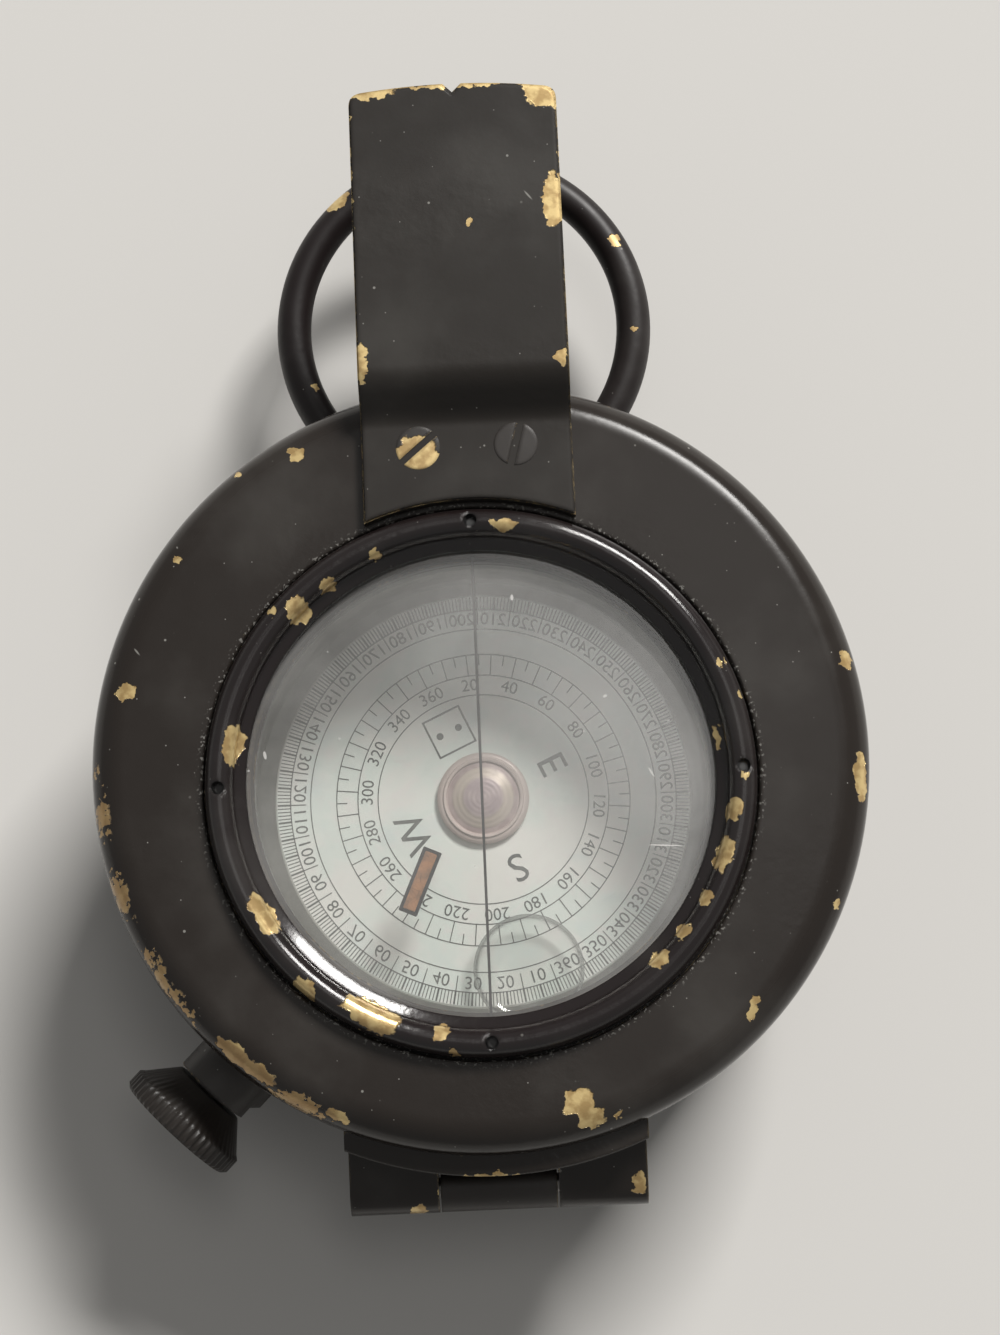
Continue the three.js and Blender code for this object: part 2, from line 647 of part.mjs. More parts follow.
// Card with its cap, jewel, nut and two needle magnets
function card() {
  return washer(STEM_RADIUS + RUNNING_GAP, CARD_RADIUS, cardBottom, cardTop, OUTER_SIDES);
}

function cardCap() {
  const bore = JEWEL_RADIUS + PIN_PLAY;
  const boreTop = jewelTop + SEAT_GAP;
  const rim = capSeat + CAP_RIM_HEIGHT;
  const ridge = capSeat + CAP_RIDGE_HEIGHT;
  const ridgeRadius = CAP_RADIUS - CAP_LAND;
  const grooveRadius = ridgeRadius - CAP_GROOVE;
  return turned([
    [0, boreTop],
    [bore, boreTop],
    [bore, stemBottom],
    [STEM_RADIUS, stemBottom],
    [STEM_RADIUS, capSeat],
    [CAP_RADIUS, capSeat],
    [CAP_RADIUS, rim],
    [ridgeRadius, ridge],
    [grooveRadius, rim],
    [grooveRadius - CAP_SHOULDER, ridge],
    [CAP_TOP_RADIUS, capTop],
    [0, capTop],
  ]);
}

function cardJewel() {
  return turned([
    [0, jewelBottom + JEWEL_CUP_DEPTH],
    [JEWEL_CUP_RADIUS, jewelBottom],
    [JEWEL_RADIUS, jewelBottom],
    [JEWEL_RADIUS, jewelTop],
    [0, jewelTop],
  ], SMALL_SIDES);
}

function cardNut() {
  const top = cardBottom - SEAT_GAP;
  return washer(STEM_RADIUS + PIN_PLAY, CARD_NUT_RADIUS, top - CARD_NUT_HEIGHT, top, SMALL_SIDES);
}

function cardMagnet(side) {
  const inner = side * (CARD_NUT_RADIUS + MAGNET_CLEAR);
  const outer = inner + side * MAGNET_WIDTH;
  const top = cardBottom - SEAT_GAP;
  const xRange = [Math.min(inner, outer), Math.max(inner, outer)];
  return block(xRange, [-MAGNET_LENGTH / 2, MAGNET_LENGTH / 2], [top - MAGNET_HEIGHT, top]);
}

// Bezel with its glass, snap ring, luminous mark and the wire that keeps it on the neck
function bezel() {
  const grooveOuter = bezelBore + WIRE_RADIUS;
  const grooveHalf = WIRE_RADIUS + PIN_PLAY;
  const teeth = true;
  const profile = [
    [bezelBore, bezelBottom],
    [bezelRadius - BEZEL_CHAMFER, bezelBottom],
    [bezelRadius, bezelBottom + BEZEL_CHAMFER],
    [bezelRadius, bandTop],
    [bezelRadius - MILLING_DEPTH, bandTop],
    [bezelRadius - MILLING_DEPTH, bandTop + BEZEL_CHAMFER],
    [bezelRadius, bandTop + BEZEL_CHAMFER, teeth],
    [bezelRadius, bezelTop - BEZEL_CHAMFER, teeth],
    [bezelRadius - MILLING_DEPTH, bezelTop],
    [bezelSeat, bezelTop],
    [bezelSeat, ledgeTop],
    [bezelLedge, ledgeTop],
    [bezelLedge, ledgeBottom],
    [bezelBore, ledgeBottom],
    [bezelBore, wireLevel + grooveHalf],
    [grooveOuter, wireLevel + grooveHalf],
    [grooveOuter, wireLevel - grooveHalf],
    [bezelBore, wireLevel - grooveHalf],
  ];
  return milledRing(profile, MILLED_SIDES, bezelRadius, TOOTH_DEPTH);
}

function bezelWire() {
  const middle = (neckRadius + bezelBore) / 2;
  return new THREE.TorusGeometry(middle, WIRE_RADIUS, WIRE_SIDES, INNER_SIDES).translate(0, 0, wireLevel);
}

function directionMark() {
  const top = bezelGlassBottom - SEAT_GAP;
  const bar = block(
    [-MARK_LENGTH / 2, MARK_LENGTH / 2],
    [-MARK_WIDTH / 2, MARK_WIDTH / 2],
    [top - MARK_THICKNESS, top],
  );
  return bar.rotateZ(THREE.MathUtils.degToRad(MARK_ANGLE)).translate(...MARK_CENTRE, 0);
}

// Lid shell with its window boss, hinge leaf and two outer knuckles
const leafBottom = hingeZ + HINGE_BARREL_RADIUS + RUNNING_GAP;
const leafTop = skirtBottom + HINGE_LEAF_TOP;
const knuckleInner = HINGE_CENTRE_WIDTH / 2 + RUNNING_GAP;

function lidDome() {
  const inner = lidRadius - LID_WALL;
  const innerRound = LID_ROUND - LID_WALL;
  const roundCentre = [lidRadius - LID_ROUND, lidTop - LID_ROUND];
  const dome = turned([
    [0, plateBottom],
    [inner - innerRound, plateBottom],
    [inner, plateBottom - innerRound],
    [inner, skirtBottom],
    [lidRadius, skirtBottom],
    ...arcPoints(LID_ROUND, roundCentre, 0, 90, LID_ROUND_STEPS),
    [0, lidTop],
  ], OUTER_SIDES);
  return solid(dome.translate(0, LID_OFFSET, 0));
}

// The part of a ring about the card axis that lies behind the lid, as wide as the hinge.
function hingeSector(inner, outer, bottom, top, xRange) {
  const band = solid(washer(inner, outer, bottom, top, OUTER_SIDES));
  const window = solid(block(xRange, [-2 * outer, 0], [bottom - OVERCUT, top + OVERCUT]));
  return band.intersect(window);
}

function lidKnuckle(side) {
  const ends = [side * knuckleInner, (side * HINGE_WIDTH) / 2].sort((a, b) => a - b);
  const nearY = -Math.sqrt(leafInner ** 2 - (HINGE_WIDTH / 2) ** 2);
  const barrel = solid(rodX(HINGE_BARREL_RADIUS, ends, hingeY, hingeZ));
  const riser = solid(block(ends, [hingeY, nearY], [hingeZ, leafBottom + RUNNING_GAP]));
  const bezelRoom = solid(disc(leafInner, hingeZ - OVERCUT, leafTop, OUTER_SIDES));
  return cut(barrel.add(riser), bezelRoom);
}

function lidShell() {
  const hingeRange = [-HINGE_WIDTH / 2, HINGE_WIDTH / 2];
  const boss = solid(disc(windowBoss, bossBottom, plateBottom + SEAT_GAP, OUTER_SIDES));
  const leaf = hingeSector(leafInner, leafOuter, leafBottom, leafTop, hingeRange);
  const flange = hingeSector(leafOuter - HINGE_FLANGE_REACH, leafOuter, skirtBottom, leafTop, hingeRange);
  const whole = join(lidDome(), boss, leaf, flange, lidKnuckle(-1), lidKnuckle(1));
  const screwHoles = ['left', 'right'].map((side) => solid(tongueScrewHole(side)));
  const spots = spotPlaces().map((y) => {
    const top = plateBottom + SPOT_THICKNESS + SEAT_GAP;
    const pocket = disc(SPOT_RADIUS + PIN_PLAY, plateBottom - OVERCUT, top, SMALL_SIDES);
    return solid(pocket.translate(0, y, 0));
  });
  const above = lidTop + OVERCUT;
  return cut(
    whole,
    solid(disc(lidBore, bossBottom - OVERCUT, above, OUTER_SIDES)),
    solid(disc(lidGlassSeat, windowSeat, above, OUTER_SIDES)),
    solid(disc(windowCounterbore, lidGlassTop, above, OUTER_SIDES)),
    solid(rodX(HINGE_PIN_RADIUS + PIN_PLAY, [-HINGE_WIDTH, HINGE_WIDTH], hingeY, hingeZ)),
    ...screwHoles,
    ...spots,
  );
}

// Middle of the space between window boss and lid wall, behind and before the window.
function spotPlaces() {
  const inner = lidRadius - LID_WALL;
  return [-(windowBoss + inner - LID_OFFSET) / 2, (windowBoss + inner + LID_OFFSET) / 2];
}

function luminousSpot(index) {
  const y = spotPlaces()[index];
  return disc(SPOT_RADIUS, plateBottom, plateBottom + SPOT_THICKNESS, SMALL_SIDES).translate(0, y, 0);
}

function windowGasket() {
  return washer(lidBore + RUNNING_GAP, lidGlassRadius, windowGasketBottom, windowGasketTop);
}

// The sighting line is engraved in the lower face of the glass.
function lidGlass() {
  const pane = solid(disc(lidGlassRadius, lidGlassBottom, lidGlassTop, OUTER_SIDES));
  const line = block(
    [-HAIRLINE_WIDTH / 2, HAIRLINE_WIDTH / 2],
    [-WINDOW_RADIUS, WINDOW_RADIUS],
    [lidGlassBottom - OVERCUT, lidGlassBottom + HAIRLINE_DEPTH],
  );
  return pane.subtract(solid(line));
}

// A crowned ring with four holes for the spanner that screws it in.
function windowRing() {
  const middle = WINDOW_RADIUS + WINDOW_RING_WIDTH / 2;
  const crownBase = windowRingTop - WINDOW_RING_CROWN;
  const crown = Array.from({ length: WINDOW_RING_STEPS + 1 }, (unused, i) => {
    const angle = (Math.PI * i) / WINDOW_RING_STEPS;
    const radius = middle + (WINDOW_RING_WIDTH / 2) * Math.cos(angle);
    return [radius, crownBase + WINDOW_RING_CROWN * Math.sin(angle)];
  });
  const ring = solid(turnedRing([
    [WINDOW_RADIUS, windowRingBottom],
    [windowRingOuter, windowRingBottom],
    ...crown,
  ], OUTER_SIDES));
  const holes = Array.from({ length: SPANNER_HOLES }, (unused, i) => {
    const [x, y] = around(middle, SPANNER_HOLES, i);
    const range = [windowRingTop - SPANNER_HOLE_DEPTH, windowRingTop + OVERCUT];
    return solid(disc(SPANNER_HOLE_RADIUS, ...range, TINY_SIDES).translate(x, y, 0));
  });
  return cut(ring, ...holes);
}

// Sighting tongue: a cranked strip trimmed to its plan outline
const tongueRoot = windowRingOuter + TONGUE_ROOT_GAP;

function tongueScrewPlace(side) {
  const x = side === 'left' ? -TONGUE_SCREW_X : TONGUE_SCREW_X;
  return [x, tongueRoot + TONGUE_SCREW_INSET, tongueBaseTop];
}

function tongueScrewHole(side) {
  const length = tongueBaseTop - plateBottom + RUNNING_GAP;
  return countersunkHole(TONGUE_SCREW_HEAD_RADIUS, TONGUE_SCREW_RADIUS, length)
    .translate(...tongueScrewPlace(side));
}

function tongueScrew(side) {
  const length = TONGUE_THICKNESS + TONGUE_SCREW_GRIP;
  const slot = TONGUE_SCREW_SLOTS[side];
  const screw = countersunkScrew(TONGUE_SCREW_HEAD_RADIUS, TONGUE_SCREW_RADIUS, length, slot);
  return geometryOf(screw).translate(...tongueScrewPlace(side));
}

function crankedStrip() {
  const low = tongueBase + TONGUE_THICKNESS / 2;
  const high = low + TONGUE_RISE;
  const rampStart = tongueRoot + TONGUE_FOOT;
  const rampEnd = rampStart + TONGUE_RAMP_RUN;
  const ramp = new THREE.Vector2(TONGUE_RAMP_RUN, TONGUE_RISE).normalize().multiplyScalar(TONGUE_BEND);
  const middle = new THREE.Path();
  middle.moveTo(0, low);
  middle.lineTo(rampStart - TONGUE_BEND, low);
  middle.quadraticCurveTo(rampStart, low, rampStart + ramp.x, low + ramp.y);
  middle.lineTo(rampEnd - ramp.x, high - ramp.y);
  middle.quadraticCurveTo(rampEnd, high, rampEnd + TONGUE_BEND, high);
  middle.lineTo(2 * TONGUE_REACH, high);
  const points = middle.getPoints(TONGUE_BEND_STEPS);
  const sides = points.map((point, i) => {
    const before = points[Math.max(i - 1, 0)];
    const after = points[Math.min(i + 1, points.length - 1)];
    const along = after.clone().sub(before).normalize();
    const up = new THREE.Vector2(-along.y, along.x).multiplyScalar(TONGUE_THICKNESS / 2);
    return [point.clone().sub(up), point.clone().add(up)];
  });
  const outline = [...sides.map((pair) => pair[0]), ...sides.map((pair) => pair[1]).reverse()];
  const halfWidth = TONGUE_ROOT_WIDTH;
  return solid(sidePlate(outline.map((point) => [point.x, point.y]), [-halfWidth, halfWidth]));
}

// Height of the tip's arc in the plan at a given distance from the middle.
function tipEdge(x) {
  return TONGUE_REACH - TONGUE_TIP_ARC + Math.sqrt(TONGUE_TIP_ARC ** 2 - x ** 2);
}

function tonguePlan() {
  const rootHalf = TONGUE_ROOT_WIDTH / 2;
  const tipHalf = TONGUE_TIP_WIDTH / 2;
  const cornerY = tipEdge(tipHalf);
  const arcEnd = tipHalf - TONGUE_CORNER;
  const notchHalf = NOTCH_WIDTH / 2;
  const arcCentreY = TONGUE_REACH - TONGUE_TIP_ARC;
  const cornerAngle = Math.acos(arcEnd / TONGUE_TIP_ARC);
  const notchAngle = Math.acos(notchHalf / TONGUE_TIP_ARC);
  const shape = new THREE.Shape();
  shape.moveTo(-rootHalf, 0);
  shape.lineTo(rootHalf, 0);
  shape.lineTo(tipHalf, cornerY - TONGUE_CORNER);
  shape.quadraticCurveTo(tipHalf, cornerY, arcEnd, tipEdge(arcEnd));
  shape.absarc(0, arcCentreY, TONGUE_TIP_ARC, cornerAngle, notchAngle);
  shape.lineTo(0, TONGUE_REACH - NOTCH_DEPTH);
  shape.lineTo(-notchHalf, tipEdge(notchHalf));
  shape.absarc(0, arcCentreY, TONGUE_TIP_ARC, Math.PI - notchAngle, Math.PI - cornerAngle);
  shape.quadraticCurveTo(-tipHalf, cornerY, -tipHalf, cornerY - TONGUE_CORNER);
  const depth = 2 * (tongueTop - tongueBase);
  const options = { depth, bevelEnabled: false, curveSegments: TONGUE_BEND_STEPS };
  const prism = new THREE.ExtrudeGeometry(shape, options);
  return solid(prism.translate(0, 0, tongueBase - depth / 4));
}

function sightTongue() {
  const rootCut = solid(disc(tongueRoot, tongueBase - OVERCUT, tongueTop + OVERCUT, OUTER_SIDES));
  const screwHoles = ['left', 'right'].map((side) => solid(tongueScrewHole(side)));
  return cut(crankedStrip().intersect(tonguePlan()), rootCut, ...screwHoles);
}

// The room that the case wall and the turning bezel need, taken out of everything fixed beside them.
function besideCase() {
  const wallTop = CASE_WALL_TOP + RUNNING_GAP / 2;
  const wall = disc(caseRadius + RUNNING_GAP, -OVERCUT, wallTop, OUTER_SIDES);
  const ring = disc(bezelRadius + RUNNING_GAP, wallTop - SEAT_GAP, skirtBottom, OUTER_SIDES);
  return solid(wall).add(solid(ring));
}

// Hinge bracket on the case, between the two knuckles of the lid
function caseHingeBracket() {
  const half = HINGE_CENTRE_WIDTH / 2;
  const inside = ROOT_OVERLAP - caseRadius;
  const webOuter = hingeY - HINGE_WEB;
  const web = sidePlate([
    [webOuter, hingeZ],
    [webOuter, HINGE_BRACKET_BOTTOM + HINGE_BRACKET_SLOPE],
    [-(caseRadius + HINGE_LEAF), HINGE_BRACKET_BOTTOM],
    [inside, HINGE_BRACKET_BOTTOM],
    [inside, hingeZ],
  ], [-half, half]);
  const barrel = rodX(HINGE_BARREL_RADIUS, [-half, half], hingeY, hingeZ);
  const bore = rodX(HINGE_PIN_RADIUS + PIN_PLAY, [-HINGE_WIDTH, HINGE_WIDTH], hingeY, hingeZ);
  return cut(solid(web).add(solid(barrel)), besideCase(), solid(bore));
}

function hingePin() {
  const end = HINGE_WIDTH / 2 - PIN_PLAY;
  return rodX(HINGE_PIN_RADIUS, [-end, end], hingeY, hingeZ);
}

// Front bracket: the lug of the sling ring below, the fork of the prism above
const forkInner = PRISM_KNUCKLE_WIDTH / 2 + RUNNING_GAP;
const forkOuter = forkInner + FORK_PLATE;

function frontBracket() {
  const half = BRACKET_WIDTH / 2;
  const lugRadius = ringBore + RING_LUG_WALL;
  const lugTop = RING_AXIS_HEIGHT + lugRadius;
  const inside = caseRadius - ROOT_OVERLAP;
  const lug = solid(rodX(lugRadius, [-half, half], ringY, RING_AXIS_HEIGHT));
  const web = solid(block([-half, half], [inside, ringY], [RING_AXIS_HEIGHT - lugRadius, lugTop]));
  const ends = [half - RING_STUB - PIN_PLAY, BRACKET_WIDTH];
  const bores = [-1, 1].map((side) => {
    const range = ends.map((x) => side * x).sort((a, b) => a - b);
    return solid(rodX(ringBore, range, ringY, RING_AXIS_HEIGHT));
  });
  const forks = [-1, 1].map((side) => {
    const range = [side * forkInner, side * forkOuter].sort((a, b) => a - b);
    const post = block(range, [inside, prismY], [RING_AXIS_HEIGHT, prismZ + PRISM_KNUCKLE_RADIUS]);
    const corner = block(range, [prismY, prismY + PRISM_KNUCKLE_RADIUS], [RING_AXIS_HEIGHT, prismZ]);
    const eye = rodX(PRISM_KNUCKLE_RADIUS, range, prismY, prismZ);
    return join(solid(post), solid(corner), solid(eye));
  });
  const pinBore = rodX(PRISM_PIN_RADIUS + PIN_PLAY, [-BRACKET_WIDTH, BRACKET_WIDTH], prismY, prismZ);
  return cut(join(lug, web, ...forks), besideCase(), ...bores, solid(pinBore));
}

// Sling ring: most of a circle of round wire, whose ends turn in to the bracket
class RingArc extends THREE.Curve {
  getPoint(t, target = new THREE.Vector3()) {
    const start = -Math.asin(RING_OFFSET / RING_RADIUS);
    const angle = start + t * (Math.PI - 2 * start);
    const x = RING_RADIUS * Math.cos(angle);
    const y = ringY + RING_OFFSET + RING_RADIUS * Math.sin(angle);
    return target.set(x, y, RING_AXIS_HEIGHT);
  }
}

function circleShape(radius, sides) {
  const points = Array.from({ length: sides }, (unused, i) => {
    const angle = (2 * Math.PI * (i + 0.5)) / sides;
    return new THREE.Vector2(radius * Math.cos(angle), radius * Math.sin(angle));
  });
  return new THREE.Shape(points);
}

function slingRing() {
  const wire = new THREE.ExtrudeGeometry(circleShape(RING_WIRE_RADIUS, RING_SIDES), {
    extrudePath: new RingArc(),
    steps: RING_STEPS,
    bevelEnabled: false,
  });
  const cornerX = Math.sqrt(RING_RADIUS ** 2 - RING_OFFSET ** 2);
  const stubEnd = BRACKET_WIDTH / 2 - RING_STUB;
  const ends = [-1, 1].flatMap((side) => {
    const range = [side * stubEnd, side * cornerX].sort((a, b) => a - b);
    const stub = rodX(RING_WIRE_RADIUS, range, ringY, RING_AXIS_HEIGHT, RING_SIDES);
    const corner = new THREE.SphereGeometry(RING_WIRE_RADIUS, RING_SIDES, RING_SIDES / 2)
      .translate(side * cornerX, ringY, RING_AXIS_HEIGHT);
    return [solid(stub), solid(corner)];
  });
  return join(solid(wire), ...ends);
}

// Prism housing with its arm and knuckle, the prism, and the eye plate on its face
const prismFace = prismY + PRISM_REACH;
const prismTop = housingTop - PRISM_FLOOR - RUNNING_GAP;
const prismTip = prismTop - PRISM_LEG;
const housingFace = prismFace - RUNNING_GAP;
const housingHalf = PRISM_WIDTH / 2 + RUNNING_GAP + PRISM_WALL;
const slopeOffset = (RUNNING_GAP + PRISM_WALL) * Math.SQRT2;
const housingBottom = prismTip - RUNNING_GAP - PRISM_WALL;
const housingBack = prismFace + PRISM_LEG + RUNNING_GAP + PRISM_WALL;

// Height of the sloped back of the prism at a given distance, moved outwards by an offset along Z.
function slopeHeight(y, offset) {
  return prismTip + (y - prismFace) - offset;
}

function prismHousing() {
  const shell = sidePlate([
    [housingFace, housingBottom],
    [prismFace + (housingBottom - slopeHeight(prismFace, slopeOffset)), housingBottom],
    [housingBack, slopeHeight(housingBack, slopeOffset)],
    [housingBack, housingTop],
    [housingFace, housingTop],
  ], [-housingHalf, housingHalf]);
  const gapOffset = RUNNING_GAP * Math.SQRT2;
  const room = PRISM_WIDTH / 2 + RUNNING_GAP;
  const cavityTop = prismTop + RUNNING_GAP;
  const cavityBack = prismFace + PRISM_LEG + RUNNING_GAP;
  const cavity = sidePlate([
    [housingFace - OVERCUT, slopeHeight(prismFace, gapOffset)],
    [prismFace, slopeHeight(prismFace, gapOffset)],
    [cavityBack, slopeHeight(cavityBack, gapOffset)],
    [cavityBack, cavityTop],
    [housingFace - OVERCUT, cavityTop],
  ], [-room, room]);
  const lap = READING_WINDOW_LAP;
  const readingWindow = block(
    [lap - PRISM_WIDTH / 2, PRISM_WIDTH / 2 - lap],
    [prismFace + lap, prismFace + PRISM_LEG - lap],
    [prismTop, housingTop + OVERCUT],
  );
  const armBottom = housingTop - PRISM_FLOOR;
  const armHalf = PRISM_ARM_WIDTH / 2;
  const neckY = 2 * prismY - bezelRadius - PRISM_FOLD_GAP;
  const arm = block([-armHalf, armHalf], [neckY, housingFace + PRISM_WALL], [armBottom, housingTop]);
  const neckHalf = PRISM_KNUCKLE_WIDTH / 2;
  const neck = sidePlate([
    [prismY, prismZ - PRISM_KNUCKLE_RADIUS],
    [neckY, armBottom],
    [neckY + PRISM_FLOOR, armBottom],
    [neckY + PRISM_FLOOR, housingTop],
    [neckY, housingTop],
    [prismY, prismZ + PRISM_KNUCKLE_RADIUS],
  ], [-neckHalf, neckHalf]);
  const knuckle = rodX(PRISM_KNUCKLE_RADIUS, [-neckHalf, neckHalf], prismY, prismZ);
  const bore = rodX(PRISM_PIN_RADIUS + PIN_PLAY, [-BRACKET_WIDTH, BRACKET_WIDTH], prismY, prismZ);
  const body = cut(solid(shell), solid(cavity), solid(readingWindow));
  const holes = [-1, 1].map((side) => solid(eyeScrewHole(side)));
  return cut(join(body, solid(arm), solid(neck), solid(knuckle)), solid(bore), ...holes);
}

function prism() {
  const half = PRISM_WIDTH / 2;
  return sidePlate([
    [prismFace, prismTip],
    [prismFace + PRISM_LEG, prismTop],
    [prismFace, prismTop],
  ], [-half, half]);
}

const eyePlateFront = housingFace - SEAT_GAP - EYE_PLATE_THICKNESS;
const eyePlateTop = housingTop - PRISM_FLOOR - RUNNING_GAP;
const eyePlateBottom = housingBottom - EYE_PLATE_TAIL;
const eyeHeight = (prismTop + prismTip) / 2;

// A cylinder along Y between two Y values, about an axis at (x, z).
function rodY(radius, yRange, x, z, sides = SMALL_SIDES) {
  const [y0, y1] = yRange;
  return new THREE.CylinderGeometry(radius, radius, y1 - y0, sides).translate(x, (y0 + y1) / 2, z);
}

function eyePlate() {
  const through = [eyePlateFront - OVERCUT, housingFace + OVERCUT];
  const plate = block(
    [-housingHalf, housingHalf],
    [eyePlateFront, eyePlateFront + EYE_PLATE_THICKNESS],
    [eyePlateBottom, eyePlateTop],
  );
  const hole = rodY(EYE_HOLE_RADIUS, through, 0, eyeHeight);
  const slit = block(
    [-EYE_SLIT_WIDTH / 2, EYE_SLIT_WIDTH / 2],
    through,
    [eyePlateBottom - OVERCUT, eyePlateBottom + EYE_SLIT_LENGTH],
  );
  const screwHoles = [-1, 1].map((side) => solid(eyeScrewHole(side)));
  return cut(solid(plate), solid(hole), solid(slit), ...screwHoles);
}

function eyeScrewX(side) {
  return side * (PRISM_WIDTH / 2 + RUNNING_GAP + PRISM_WALL / 2);
}

function eyeScrewHole(side) {
  const range = [eyePlateFront - OVERCUT, housingFace + EYE_SCREW_LENGTH];
  return rodY(EYE_SCREW_RADIUS + SEAT_GAP, range, eyeScrewX(side), eyeHeight, TINY_SIDES);
}

function eyeScrew(side) {
  const headBottom = eyePlateFront - SEAT_GAP;
  const shankEnd = housingFace + EYE_SCREW_LENGTH - PIN_PLAY;
  const head = rodY(EYE_SCREW_HEAD_RADIUS, [headBottom - EYE_SCREW_HEAD, headBottom], 0, 0, TINY_SIDES);
  const shank = rodY(EYE_SCREW_RADIUS, [headBottom - SEAT_GAP, shankEnd], 0, 0, TINY_SIDES);
  const whole = solid(head).add(solid(shank));
  return geometryOf(whole).translate(eyeScrewX(side), 0, eyeHeight);
}

function prismPin() {
  const end = forkOuter - PIN_PLAY;
  return rodX(PRISM_PIN_RADIUS, [-end, end], prismY, prismZ);
}

// Bezel clamp, drawn along +X and turned into place as a group
const bossStart = bezelRadius + RUNNING_GAP + SEAT_GAP;
const bossEnd = bossStart + CLAMP_BOSS_LENGTH;
const padStart = bezelRadius + CLAMP_PAD_GAP;
const padEnd = padStart + CLAMP_PAD_LENGTH;
const shankStart = padEnd + PIN_PLAY;
const clampBore = CLAMP_SHANK_RADIUS + PIN_PLAY;

function clampBracket() {
  const inside = caseRadius - ROOT_OVERLAP;
  const boss = turnedX([
    [0, inside],
    [CLAMP_BOSS_RADIUS, inside],
    [CLAMP_BOSS_RADIUS, bossEnd],
    [0, bossEnd],
  ], 0, clampZ);
  const footRange = [-CLAMP_BOSS_RADIUS, CLAMP_BOSS_RADIUS];
  const footEnd = caseRadius + CLAMP_FOOT_DEPTH;
  const foot = block([inside, footEnd], footRange, [CLAMP_FOOT_BOTTOM, clampZ]);
  const bore = turnedX([
    [0, inside - OVERCUT],
    [clampBore, inside - OVERCUT],
    [clampBore, bossEnd + OVERCUT],
    [0, bossEnd + OVERCUT],
  ], 0, clampZ);
  return cut(solid(boss).add(solid(foot)), besideCase(), solid(bore));
}

function clampPad() {
  const chamfer = PIN_PLAY;
  return turnedX([
    [0, padStart],
    [CLAMP_PAD_RADIUS - chamfer, padStart],
    [CLAMP_PAD_RADIUS, padStart + chamfer],
    [CLAMP_PAD_RADIUS, padEnd],
    [0, padEnd],
  ], 0, clampZ);
}

// Thumb screw: shank, coned back, straight-knurled rim and a dished end.
function clampScrew() {
  const coneStart = bossEnd + RUNNING_GAP;
  const rimStart = coneStart + KNOB_CONE_LENGTH;
  const rimEnd = rimStart + KNOB_RIM_WIDTH;
  const core = turnedX([
    [0, shankStart],
    [CLAMP_SHANK_RADIUS, shankStart],
    [CLAMP_SHANK_RADIUS, coneStart],
    [KNOB_SMALL_RADIUS, coneStart],
    [KNOB_CONE_RADIUS, rimStart],
    [KNOB_CONE_RADIUS, rimEnd],
    [KNOB_DISH_RADIUS, rimEnd],
    [KNOB_DISH_RADIUS - KNOB_DISH_DEPTH, rimEnd - KNOB_DISH_DEPTH],
    [0, rimEnd - KNOB_DISH_DEPTH],
  ], 0, 0, INNER_SIDES);
  const teeth = true;
  const inner = KNOB_DISH_RADIUS;
  const rim = milledRing([
    [inner, rimStart],
    [KNOB_CONE_RADIUS, rimStart],
    [KNOB_RIM_RADIUS, rimStart + KNOB_RIM_CHAMFER, teeth],
    [KNOB_RIM_RADIUS, rimEnd - KNOB_RIM_CHAMFER, teeth],
    [KNOB_CONE_RADIUS, rimEnd],
    [inner, rimEnd],
  ], 2 * KNOB_TEETH, KNOB_RIM_RADIUS, KNURL_DEPTH).rotateY(Math.PI / 2);
  return geometryOf(solid(core).add(solid(rim))).translate(0, 0, clampZ);
}

// Assembly
function caseGroup() {
  const group = new THREE.Group();
  group.add(piece('case_body', caseBody(), BLACK_ENAMEL));
  group.add(piece('base_cover', baseCover(), BLACK_ENAMEL));
  for (let i = 0; i < BASE_SCREWS; i += 1) {
    group.add(piece(`base_screw_${i + 1}`, baseScrew(i), BRASS));
  }
  group.add(piece('base_rubber_ring', rubberRing(), RUBBER));
  group.add(piece('case_hinge_bracket', caseHingeBracket(), BLACK_ENAMEL));
  group.add(piece('lid_hinge_pin', hingePin(), STEEL));
  group.add(piece('front_bracket', frontBracket(), BLACK_ENAMEL));
  group.add(piece('prism_hinge_pin', prismPin(), STEEL));
  return group;
}

function bowlGroup() {
  const group = new THREE.Group();
  group.add(piece('liquid_bowl', bowl(), BRASS));
  group.add(piece('bowl_diaphragm', diaphragm(), BRASS));
  group.add(piece('diaphragm_ring', diaphragmRing(), BRASS));
  group.add(piece('filler_plug', fillerPlug(), BRASS));
  group.add(piece('pivot_post', pivotPost(), STEEL));
  group.add(piece('bowl_gasket', bowlGasket(), CORK));
  const glass = disc(bowlGlassRadius, bowlGlassBottom, bowlGlassTop, OUTER_SIDES);
  group.add(piece('bowl_glass', glass, CLEAR_GLASS));
  group.add(piece('bowl_lock_ring', bowlLockRing(), BRASS));
  return group;
}

function cardGroup() {
  const group = new THREE.Group();
  group.add(piece('card', card(), PEARL));
  group.add(piece('card_cap', cardCap(), CAP_BRONZE));
  group.add(piece('card_jewel', cardJewel(), JEWEL_STONE));
  group.add(piece('card_nut', cardNut(), BRASS));
  group.add(piece('card_magnet_left', cardMagnet(-1), STEEL));
  group.add(piece('card_magnet_right', cardMagnet(1), STEEL));
  group.rotation.z = THREE.MathUtils.degToRad(CARD_HEADING);
  return group;
}

